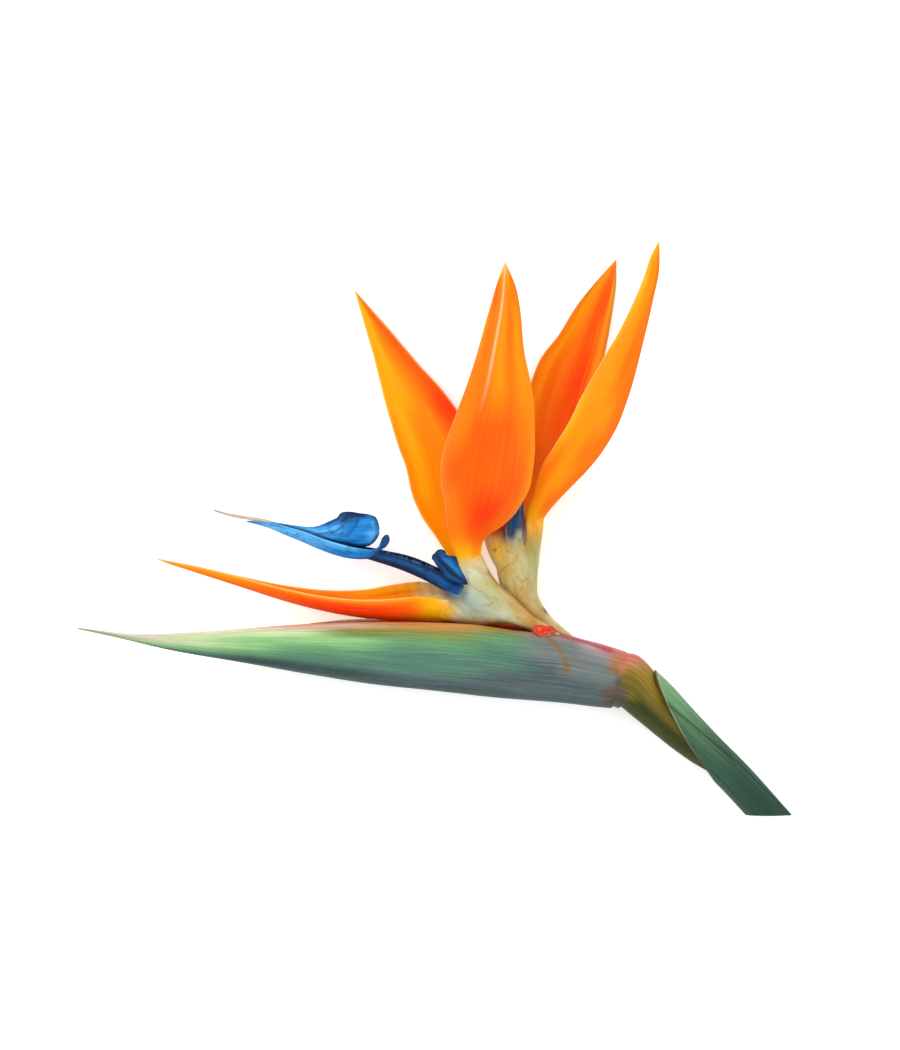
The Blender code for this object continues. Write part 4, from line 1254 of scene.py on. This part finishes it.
FAR_HEAD = {
    "midrib": [
        (-19.0, -0.3, 13.4), (-22.0, -0.3, 13.8), (-25.3, -0.3, 13.9), (-28.7, -0.3, 13.8),
        (-32.0, -0.5, 13.6), (-37.0, -0.7, 13.3), (-42.0, -0.3, 13.0), (-47.0, 0.7, 12.8),
        (-52.0, 1.7, 12.5), (-58.0, 2.7, 12.2), (-63.0, 3.0, 12.0),
    ],
    "left": {
        "width": [
            (0, 0.6), (0.01, 2.0), (0.045, 4.0), (0.083, 5.0), (0.16, 5.4), (0.26, 5.2),
            (0.37, 4.2), (0.52, 2.4), (0.64, 1.4), (0.8, 0.8), (1, 0.1),
        ],
        "lift": [(0, -0.5), (0.1, -1.9), (0.3, -1.8), (0.6, -0.6), (1, -0.02)],
        "bow": 0.2,
    },
    "right": {
        "width": [
            (0, 1.2), (0.01, 3.2), (0.03, 4.7), (0.083, 5.3), (0.16, 5.7), (0.23, 6.0), (0.262, 5.9),
            (0.3, 4.3), (0.41, 2.6), (0.52, 1.3), (0.64, 0.8), (0.75, 0.6), (1, 0.1),
        ],
        "lift": [(0, -0.5), (0.1, -1.6), (0.3, -1.4), (0.6, -0.2), (1, -0.02)],
        "bow": 0.2,
    },
    "seed": 2.3,
    "ripple": 0.14,
    "folds": [
        (0.1, 0.55, 0.95, 0.0, 0.1, -0.5),
        (0.16, 0.6, 0.7, 0.15, 0.07, 0.35),
        (0.0, 0.45, 0.95, 0.95, 0.07, 0.6),
        (0.03, 0.3, -0.5, -0.7, 0.12, -0.4),
    ],
}
BLUE_PALETTE = {
    "n": (0.003, 0.020, 0.070),  # navy
    "m": (0.004, 0.070, 0.230),  # middle
    "a": (0.012, 0.210, 0.600),  # azure
    "l": (0.100, 0.460, 0.900),  # light
    "w": (0.25, 0.38, 0.42),  # washed out into the base
    "e": (0.44, 0.40, 0.25),  # flesh of the base
    "u": (0.045, 0.030, 0.085),  # dull purple
    "s": (0.07, 0.09, 0.14),  # slate
}
CLAW_CHART = [
    (0.00, "wwww"),
    (0.10, "wmmm"),
    (0.22, "nmmn"),
    (0.45, "nnmn"),
    (0.70, "nnmn"),
    (1.00, "nnnn"),
]
NEAR_HEAD_CHART = [
    (0.00, "nmn"),
    (0.06, "mmm"),
    (0.12, "mma"),
    (0.20, "maa"),
    (0.35, "aal"),
    (0.60, "all"),
    (0.85, "lla"),
    (1.00, "mmn"),
]
FAR_HEAD_CHART = [
    (0.00, "mmaamn"),
    (0.05, "malaam"),
    (0.12, "maaaan"),
    (0.22, "maaamn"),
    (0.32, "maalan"),
    (0.45, "mallam"),
    (0.65, "alllla"),
    (0.90, "alllll"),
    (1.00, "mmmmmm"),
]
FIRST_SMALL_PETAL = {
    "midrib": [
        (10.4, -18.0, 15.6), (8.0, -15.3, 16.2), (5.3, -12.3, 16.4), (2.4, -9.8, 16.0),
        (-0.1, -7.4, 15.2),
    ],
    "left": {
        "width": [(0, 0.25), (0.2, 2.6), (0.45, 4.1), (0.7, 3.2), (0.85, 2.7), (0.96, 2.4), (1, 1.6)],
        "lift": [(0, -0.1), (0.6, -1.3), (1, -0.3)],
        "bow": 0.12,
    },
    "right": {
        "width": [
            (0, 0.25), (0.2, 2.0), (0.42, 3.3), (0.6, 3.4), (0.76, 2.0), (0.88, 2.5), (0.96, 2.0),
            (1, 0.9),
        ],
        "lift": [(0, -0.1), (0.6, -0.6), (1, -0.1)],
        "bow": 0.08,
    },
    "seed": 3.2,
    "ripple": 0.18,
    "folds": [
        (0.1, 1.0, 0.0, 0.15, 0.09, 0.45),
        (0.2, 0.95, 0.3, 0.4, 0.07, -0.5),
        (0.2, 1.0, -0.5, -0.4, 0.08, -0.5),
    ],
}
SMALL_PETAL_CHART = [
    (0.00, "nnnnnn"),
    (0.15, "nmnmmn"),
    (0.40, "nmnamm"),
    (0.70, "nmnamn"),
    (0.90, "mmnmmn"),
    (1.00, "nnnnnn"),
]
SECOND_SMALL_PETAL = {
    "midrib": [
        (26.2, -9.0, 12.2), (26.3, -4.5, 15.6), (26.6, 0.5, 17.6), (27.2, 6.0, 18.8), (28.6, 12.0, 19.2),
    ],
    "left": {
        "width": [(0, 1.2), (0.3, 3.0), (0.55, 3.4), (0.8, 2.2), (1, 0.3)],
        "lift": [(0, -0.6), (0.5, -1.4), (1, -0.1)],
        "bow": 0.12,
    },
    "right": {
        "width": [(0, 1.2), (0.3, 2.6), (0.55, 2.5), (0.8, 1.6), (1, 0.3)],
        "lift": [(0, -0.6), (0.5, -1.4), (1, -0.1)],
        "bow": 0.12,
    },
    "seed": 4.1,
    "ripple": 0.12,
    "folds": [(0.1, 1.0, 0.2, 0.2, 0.1, 0.5), (0.2, 1.0, -0.4, -0.3, 0.1, -0.4)],
}
SECOND_PETAL_CHART = [
    (0.00, "eeeeee"),
    (0.25, "eeeeee"),
    (0.38, "esseeu"),
    (0.52, "ssmssu"),
    (0.70, "smmsuu"),
    (0.85, "suusuu"),
    (1.00, "uuuuuu"),
]
STYLE_ROUTE = [
    (-50.0, 0.9, 11.8), (-58.0, 3.3, 12.2), (-65.3, 4.4, 12.5), (-70.0, 5.4, 12.7), (-74.0, 6.6, 12.9),
]
STYLE_RADIUS = [(0, 0.6), (0.6, 0.6), (1, 0.3)]
SECOND_ARROW = {"pivot": (6.3, -22.3, 10.8), "turn": -65.0, "scale": 0.74, "to": (22.6, -4.5, 12.4)}
SECOND_ARROW_WIDTH = 0.6

SEPAL_PALETTE = {
    "c": (0.66, 0.62, 0.34),  # cream claw
    "w": (0.90, 0.62, 0.16),  # pale tip
    "y": (0.95, 0.44, 0.002),  # yellow
    "g": (0.95, 0.30, 0.0),  # golden
    "o": (0.95, 0.195, 0.0),  # orange
    "d": (0.94, 0.12, 0.0),  # deep orange
    "r": (0.92, 0.05, 0.0),  # red-orange
    "b": (0.50, 0.15, 0.004),  # brown edge, also painted shade along a folded-back margin
}


def placed(points, move):
    """Points turned about the Z axis, scaled and moved, as move says."""
    points = np.array(points, float) - move["pivot"]
    c, s = math.cos(math.radians(move["turn"])), math.sin(math.radians(move["turn"]))
    turned = points @ np.array([[c, s, 0], [-s, c, 0], [0, 0, 1]])
    return (turned * move["scale"] + move["to"]).tolist()


def smaller(shape, move, by):
    """A blade moved like its route, with its widths and lifts scaled."""
    made = dict(shape, midrib=placed(shape["midrib"], move))
    for which in ("left", "right"):
        if shape.get(which):
            half = dict(shape[which])
            half["width"] = [(t, w * by) for t, w in half["width"]]
            half["lift"] = [(t, z * by) for t, z in half["lift"]]
            made[which] = half
    return made


def pale_rim_and_highlight(amount, left=1.0, right=1.0):
    """A tune that pales the margins over their last fraction of a millimetre: partly their own paler edge,
    partly a painted rim highlight.
    """

    def tune(paint, rings, along, across, edge):
        side = np.where(across < 0, left, right)
        rim = np.exp(-((edge / 0.28) ** 2)) * amount * side * step(0.1, 0.25, along)
        return tinted(paint, rim, (0.96, 0.72, 0.32))

    return tune


def front_sepal_tune(paint, rings, along, across, edge):
    """The near sepal's pale rim, and a painted highlight: a pale line along its upper ridge."""
    paint = pale_rim_and_highlight(0.7, 1.0, 0.35)(paint, rings, along, across, edge)
    # A painted highlight along the upper ridge.
    line = -0.42 + 0.37 * np.clip((along - 0.5) / 0.5, 0, 1)
    ridge_highlight = np.exp(-(((across - line) / 0.035) ** 2)) * step(0.52, 0.74, along)
    return tinted(paint, 0.75 * ridge_highlight, (0.98, 0.66, 0.36))


def keel_sepal_tune(paint, rings, along, across, edge):
    """Shadowed cross folds on the far half of the keel sepal, near its claw, and a cream rim, partly its own
    pale margin and partly a painted highlight.
    """
    paint = pale_rim_and_highlight(0.6)(paint, rings, along, across, edge)
    where = step(0.03, 0.1, along) * step(0.3, 0.2, along) * step(-0.35, -0.75, across)
    folds = 0.5 + 0.5 * np.sin(along * 150 + across * 5)
    return tinted(paint, 0.5 * where * folds**2, (0.62, 0.30, 0.05))


def sepals(orange):
    """The six outer petals, three to each floret."""
    for node, shape, chart, tune in (
        ("first_floret_near_sepal", FIRST_NEAR_SEPAL, FIRST_NEAR_CHART, front_sepal_tune),
        ("first_floret_far_sepal", FIRST_FAR_SEPAL, FIRST_FAR_CHART, pale_rim_and_highlight(0.4)),
        ("first_floret_keel_sepal", FIRST_KEEL_SEPAL, FIRST_KEEL_CHART, keel_sepal_tune),
        # On this sepal only the left rim is paled: a painted rim highlight.
        ("second_floret_near_sepal", SECOND_NEAR_SEPAL, SECOND_NEAR_CHART, pale_rim_and_highlight(0.6, 1.0, 0.0)),
        ("second_floret_far_sepal", SECOND_FAR_SEPAL, SECOND_FAR_CHART, pale_rim_and_highlight(0.2)),
        ("second_floret_keel_sepal", SECOND_KEEL_SEPAL, SECOND_KEEL_CHART, pale_rim_and_highlight(0.4)),
    ):
        part = blade(shape, SEPAL_THICKNESS, chart, SEPAL_PALETTE, tune=tune)
        piece(f"{node}_skin", [part], orange, node)


HOOD_FOOT = [(-58, 2.9), (-50.7, 1.5), (-41.8, -0.8), (-34.7, -3.4), (-27.5, -4.9), (-22.7, -5.8)]
GROOVE = [(-19.5, -6.6), (-17, -7.4), (-12, -8.6), (-8, -10.0), (-3.7, -11.4), (0, -13.0)]


# The hood has painted shade along its foot and down two creases, is dark at its rolled crest, and paler at
# its back.
HOOD_MARKS = [
    (0.85, BLUE_PALETTE["n"], stroke, HOOD_FOOT, 0.6),
    (0.9, BLUE_PALETTE["n"], stroke, [(-31.0, 3.0), (-29.0, 4.6), (-26.6, 5.2), (-24.6, 4.9)], 0.7),
    (0.7, BLUE_PALETTE["m"], stroke, [(-28.6, 4.4), (-30.6, 1.6), (-34.0, -0.8), (-40, -1.4)], 0.4),
    (0.6, BLUE_PALETTE["m"], stroke, [(-25.8, 4.4), (-26.6, 1.0), (-29.4, -1.8), (-33, -3.0)], 0.35),
    (0.5, BLUE_PALETTE["l"], stroke, [(-21.0, 2.6), (-20.6, -1.0), (-22.0, -4.0)], 0.45),
]


def far_head_tune(paint, rings, along, across, edge):
    return marked(paint, rings, HOOD_MARKS)


def near_head_tune(paint, rings, along, across, edge):
    """The near head: a bright upper rim."""
    rim = np.exp(-((edge / 0.3) ** 2)) * step(0.15, 0.3, along) * step(0.1, 0.6, across)
    return tinted(paint, 0.8 * rim, (0.20, 0.58, 0.95))


def claw_tune(paint, rings, along, across, edge):
    """A ragged painted highlight over a dark line, along the groove where the two claws meet."""
    ragged_highlight = 0.55 + 0.45 * np.sign(np.sin(along * 130) + np.sin(along * 57))
    paint = tinted(paint, 0.8 * stroke(rings, [(x, y - 0.7) for x, y in GROOVE], 0.5), BLUE_PALETTE["n"])
    # A painted highlight along the groove, broken into dashes.
    return tinted(paint, 0.8 * ragged_highlight * stroke(rings, GROOVE, 0.3), (0.10, 0.32, 0.62))


def arrow(prefix, blue, move=None, by=1.0):
    """The two joined petals: each has a narrow claw, and a head with a barb behind."""
    for which, claw, head, head_chart, head_tune in (
        ("near", NEAR_CLAW, NEAR_HEAD, NEAR_HEAD_CHART, near_head_tune),
        ("far", FAR_CLAW, FAR_HEAD, FAR_HEAD_CHART, far_head_tune),
    ):
        if move:
            claw, head = smaller(claw, move, by), smaller(head, move, by)
        parts = [
            blade(claw, CLAW_THICKNESS, CLAW_CHART, BLUE_PALETTE, rows=140, columns=16, tune=claw_tune),
            blade(head, PETAL_THICKNESS, head_chart, BLUE_PALETTE, rows=150, columns=24, tune=head_tune),
        ]
        node = f"{prefix}_arrow_petal_{which}"
        piece(f"{node}_skin", parts, blue, node)


def small_petals(blue):
    """The short third petal of each floret."""
    for node, shape, chart in (
        ("first_floret_small_petal", FIRST_SMALL_PETAL, SMALL_PETAL_CHART),
        ("second_floret_small_petal", SECOND_SMALL_PETAL, SECOND_PETAL_CHART),
    ):
        part = blade(shape, PETAL_THICKNESS, chart, BLUE_PALETTE, rows=70, columns=16)
        piece(f"{node}_skin", [part], blue, node)


def styles(white):
    """The thread that runs out past each arrow's tip."""
    for node, route in (
        ("first_floret_style", STYLE_ROUTE),
        ("second_floret_style", placed(STYLE_ROUTE[:-1], SECOND_ARROW)),
    ):
        at, angle = ring_places(np.linspace(0, 1, 60), 14)
        grid = oval_rings(route, STYLE_RADIUS, STYLE_RADIUS, at, angle)
        grid = uneven(grid, 0.25 * wave(at, 2.0, (4, 9, 15)))
        paint = np.array([0.62, 0.56, 0.44]) + 0 * grid
        paint = tinted(paint, 0.5 * step(0.75, 1.0, at), (0.45, 0.34, 0.22))
        skin = limb_skin(route, STYLE_RADIUS, at, angle)
        piece(f"{node}_thread", [loft(grid, skin, paint)], white, node)


CREAM = (0.58, 0.50, 0.24)
PALE_GREEN = (0.37, 0.47, 0.38)
FLESH_WHITE = (0.68, 0.72, 0.54)
YELLOW = (0.86, 0.46, 0.02)
TAN = (0.52, 0.37, 0.11)
RUST = (0.46, 0.20, 0.03)
BARK = (0.12, 0.05, 0.02)
# How each base is coloured over its cream, each mark over those before it.
FIRST_BASE_MARKS = [
    (1.3, PALE_GREEN, blot, 11.0, -26.0, 11, 6.5, -10),
    (0.9, FLESH_WHITE, blot, 12.8, -15.2, 5.5, 4.2, 60),
    (0.9, (0.56, 0.60, 0.42), blot, 22.0, -28.2, 7, 2.6, -30),
    (0.7, (0.50, 0.46, 0.14), blot, 18.6, -19.0, 7, 2.6, -48),
    (0.95, YELLOW, blot, 12.6, -7.6, 5, 3.0),
    (1.5, YELLOW, blot, 0.6, -26.8, 5.6, 5.0),
    (0.95, (0.006, 0.05, 0.15), blot, 3.6, -19.8, 5.0, 2.8, -42),
    (0.8, (0.07, 0.19, 0.27), blot, 8.0, -20.6, 3.6, 2.6, -35),
    (0.7, RUST, stroke, [(17.5, -14), (20, -17.5), (24.5, -21.5), (30, -26), (33, -30)], 0.8),
    (0.6, (0.57, 0.38, 0.09), blot, 26.0, -25.4, 5.0, 2.2, -42),
    (0.9, (0.56, 0.27, 0.035), blot, 32.0, -30.4, 4.0, 2.6, -40),
    (0.4, TAN, stroke, [(14, -20), (18, -23.5), (24, -27), (30, -31)], 0.35),
    (0.5, TAN, stroke, [(8, -28.8), (13, -29.2), (19, -29.5), (26, -31)], 0.5),
    (0.9, RUST, stroke, [(4, -30.6), (13, -30.6), (20, -31.2), (27, -32.2), (32, -33.4)], 0.9),
]
SECOND_BASE_MARKS = [
    (0.75, (0.50, 0.36, 0.08), blot, 24.0, -12.0, 4.5, 10, 15),
    (0.85, (0.38, 0.40, 0.15), blot, 32.0, -10.0, 3.0, 11),
    (0.55, (0.64, 0.58, 0.30), blot, 28.4, -12.0, 1.6, 8, 5),
    (0.95, (0.74, 0.42, 0.015), blot, 20.2, -6.0, 2.6, 5.0, 15),
    (1.4, (0.45, 0.05, 0.002), blot, 20.0, 1.0, 3.4, 3.6),
    (0.85, (0.16, 0.07, 0.03), blot, 22.8, -1.6, 1.4, 2.4),
    (0.9, (0.09, 0.10, 0.15), blot, 26.6, 0.8, 2.8, 4.6),
    (0.85, (0.38, 0.29, 0.04), blot, 31.6, -3.5, 3.6, 4.6),
    (1.5, (0.88, 0.40, 0.02), blot, 33.0, 3.4, 4.2, 4.8),
    (0.8, (0.16, 0.03, 0.10), stroke, [(29.4, 4), (29.8, -1), (29.5, -4.6)], 0.5),
    (0.6, RUST, stroke, [(20.6, -15), (22.2, -13.2), (24.2, -11.6), (26.0, -10.6), (27.0, -8.4)], 0.28),
    (0.45, RUST, stroke, [(24.2, -11.6), (25.4, -13.6), (24.8, -15.4)], 0.22),
    (0.6, RUST, stroke, [(26.8, -15.2), (28.6, -17.0), (28.8, -19.0), (27.2, -21.2), (26.4, -24.0)], 0.34),
    (0.6, RUST, stroke, [(28.8, -17.2), (30.4, -16.0)], 0.3),
    (0.5, RUST, stroke, [(23.4, -19.0), (26.4, -22.2), (30.4, -25.6)], 0.4),
    (0.35, RUST, stroke, [(30.6, -12.0), (30.9, -16.5), (31.6, -20.5)], 0.25),
    (0.6, (0.60, 0.40, 0.10), blot, 28.0, -23.4, 3.0, 3.6, -35),
    (0.9, (0.56, 0.27, 0.035), blot, 32.0, -28.2, 3.6, 2.8, -35),
    (0.95, BARK, blot, 36.6, -26.9, 1.5, 0.8, -40),
]
BARK_SPECKS = (
    (19.6, -6.6, 0.7), (21.0, -5.4, 0.35), (28.8, -3.0, 0.3), (24.0, -7.0, 0.25), (22.8, -1.8, 0.5),
)
SECOND_BASE_MARKS += [(0.85, BARK, blot, x, y, size, 0.7 * size, 40) for x, y, size in BARK_SPECKS]


def melted(limbs):
    """Points and faces of the limbs melted into one smooth body."""
    parts = []
    for limb in limbs:
        at, angle = ring_places(np.linspace(0, 1, 60), 40)
        grid = oval_rings(limb["route"], limb["across"], limb["depth"], at, angle)
        parts.append(loft(grid, grid, grid))
    rough = joined("rough", parts)
    mould = linked("rough", rough)
    remesh = mould.modifiers.new("melt", "REMESH")
    remesh.mode = "VOXEL"
    remesh.voxel_size = FLESH_VOXEL * MM
    smooth = mould.modifiers.new("smooth", "SMOOTH")
    smooth.factor = 0.5
    smooth.iterations = FLESH_ROUNDS
    melt = mould.evaluated_get(bpy.context.evaluated_depsgraph_get()).to_mesh()
    place = np.array([vertex.co for vertex in melt.vertices]) / MM
    normal = np.array([vertex.normal for vertex in melt.vertices])
    found = [tuple(polygon.vertices) for polygon in melt.polygons]
    bpy.data.objects.remove(mould)
    bpy.data.meshes.remove(rough)
    return place, normal, found


def floret_base(node, limbs, marks, finish, seed, run):
    """A floret's fleshy base. Its fibres follow the level direction run, in degrees from X."""
    place, normal, faces = melted(limbs)
    c, s = math.cos(math.radians(run)), math.sin(math.radians(run))
    along = place[:, 0] * c + place[:, 1] * s
    across = place[:, 1] * c - place[:, 0] * s
    thin = step(40.0, 30.0, place[:, 0])
    swell = 0.12 * np.sin(across * 0.9 + 0.6 * np.sin(along * 0.3 + seed))
    swell = swell + 0.04 * np.sin(across * 2.3 + along * 0.4 + seed * 3)
    place = place + normal * (swell * thin)[:, None]
    paint = marked(np.array(CREAM) + 0 * place, place, marks)
    skin = np.stack([across, along, place[:, 2]], axis=1)
    piece(f"{node}_flesh", [(place, faces, None, skin, paint)], finish, node)


def sap_drop(finish):
    """A bead of sap at the mouth of the spathe, with a flattened foot."""
    route = [
        (31.6, -33.0, 19.0), (33.6, -33.2, 19.7), (35.9, -33.4, 19.9), (38.0, -33.2, 19.5),
        (40.4, -33.6, 18.8),
    ]
    swell = [(0, 0.25), (0.12, 1.2), (0.38, 1.95), (0.62, 1.7), (0.85, 1.0), (1, 0.25)]
    at, angle = ring_places(np.linspace(0, 1, 60), 40)
    grid = oval_rings(route, swell, [(t, 0.62 * r) for t, r in swell], at, angle)
    grid = uneven(grid, 0.05 * wave(at + angle / 6.3, 2.0, (2, 3, 5)))
    paint = np.array([0.82, 0.045, 0.002]) + 0 * grid
    # Painted shade: darker on the sides and underside, bright only on top.
    paint = tinted(paint, 0.8 * step(0.75, 0.1, np.sin(angle)), (0.40, 0.02, 0.001))
    # A painted highlight: a pale crescent along the lower side.
    highlight_crescent = step(-0.8, -0.97, np.cos(angle)) * step(0.3, 0.45, at) * step(0.9, 0.75, at)
    paint = tinted(paint, 0.9 * highlight_crescent, (0.90, 0.66, 0.44))
    paint = tinted(paint, 0.8 * step(0.72, 1.0, at), (0.50, 0.14, 0.01))
    paint = tinted(paint, 0.8 * step(0.2, 0.0, at), (0.40, 0.06, 0.01))
    skin = limb_skin(route, swell, at, angle)
    piece("sap_bead", [loft(grid, skin, paint)], finish, "sap_drop")


# ---------------------------------------------------------------- stage

CAMERA_HEIGHT = 1.4  # metres above the flower's middle plane
CAMERA_FOOT = (0.00467, 0.00167)
LENS = 144.0
FLOOR_HALF = 3.0  # metres
# Each light's name, place in metres, width in metres and power in watts.
LIGHTS = (("key", (-0.55, 0.55, 0.95), 0.9, 6.0), ("fill", (0.7, -0.35, 0.8), 0.9, 2.0))


def floor():
    tree = Tree("floor_pale", Specular_IOR_Level=0.2)
    tree.shader.inputs["Roughness"].default_value = 0.8
    node = tree.nodes.new("ShaderNodeTexNoise")
    node.inputs["Scale"].default_value = 3.0
    colour = tree.mixed(node.outputs["Fac"], (0.93, 0.93, 0.93, 1), (0.96, 0.96, 0.955, 1))
    tree.plug(colour, tree.shader.inputs["Base Color"])
    tree.shader.inputs["Emission Color"].default_value = (1, 1, 1, 1)
    tree.shader.inputs["Emission Strength"].default_value = 0.4
    mesh = bpy.data.meshes.new("floor")
    half = FLOOR_HALF
    corners = [(-half, -half, 0), (half, -half, 0), (half, half, 0), (-half, half, 0)]
    mesh.from_pydata(corners, [], [(0, 1, 2, 3)])
    mesh.materials.append(tree.material)
    made = linked("floor", mesh)


def soft_light(name, place, size, power):
    """A square lamp that points at the flower."""
    data = bpy.data.lights.new(name, "AREA")
    data.shape = "SQUARE"
    data.size = size
    data.energy = power
    lamp = linked(name, data)
    lamp.location = place
    away = np.array(place) / np.linalg.norm(place)
    lamp.rotation_euler = (math.acos(away[2]), 0, math.atan2(away[0], -away[1]))


def stage():
    scene = bpy.context.scene
    scene.view_settings.view_transform = "Standard"
    world = bpy.data.worlds.new("studio")
    world.use_nodes = True
    sky = world.node_tree.nodes["Background"]
    sky.inputs["Color"].default_value = (1, 1, 1, 1)
    sky.inputs["Strength"].default_value = 0.8
    scene.world = world
    floor()
    for light in LIGHTS:
        soft_light(*light)
    data = bpy.data.cameras.new("camera")
    data.sensor_fit = "VERTICAL"
    data.sensor_height = 36.0
    data.lens = LENS
    camera = linked("camera", data)
    camera.location = (*CAMERA_FOOT, MIDDLE * MM + CAMERA_HEIGHT)
    scene.camera = camera


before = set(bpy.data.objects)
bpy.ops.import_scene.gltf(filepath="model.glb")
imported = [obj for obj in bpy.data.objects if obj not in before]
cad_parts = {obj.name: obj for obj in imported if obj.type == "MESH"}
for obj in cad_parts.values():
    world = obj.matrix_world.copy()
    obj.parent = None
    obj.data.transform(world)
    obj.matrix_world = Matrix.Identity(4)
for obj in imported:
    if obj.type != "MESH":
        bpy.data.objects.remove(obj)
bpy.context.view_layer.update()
stage()
spathe(leaf_finish("spathe_green", bloom=0.6, depth=0.0004, fibre=3.2))
flower_stalk(leaf_finish("stalk_olive", bloom=0.06, depth=0.0003, fibre=2.2))
stalk_sheath(leaf_finish("sheath_green", bloom=0.2, depth=0.0004, fibre=2.2))
cream_flesh = base_finish()
floret_base("first_floret_base", FIRST_BASE, FIRST_BASE_MARKS, cream_flesh, seed=1.0, run=-35.0)
floret_base("second_floret_base", SECOND_BASE, SECOND_BASE_MARKS, cream_flesh, seed=2.0, run=-75.0)
sepals(sepal_finish())
petal_blue = petal_finish()
arrow("first_floret", petal_blue)
arrow("second_floret", petal_blue, SECOND_ARROW, SECOND_ARROW_WIDTH)
small_petals(petal_blue)
styles(style_finish())
sap_drop(sap_finish())
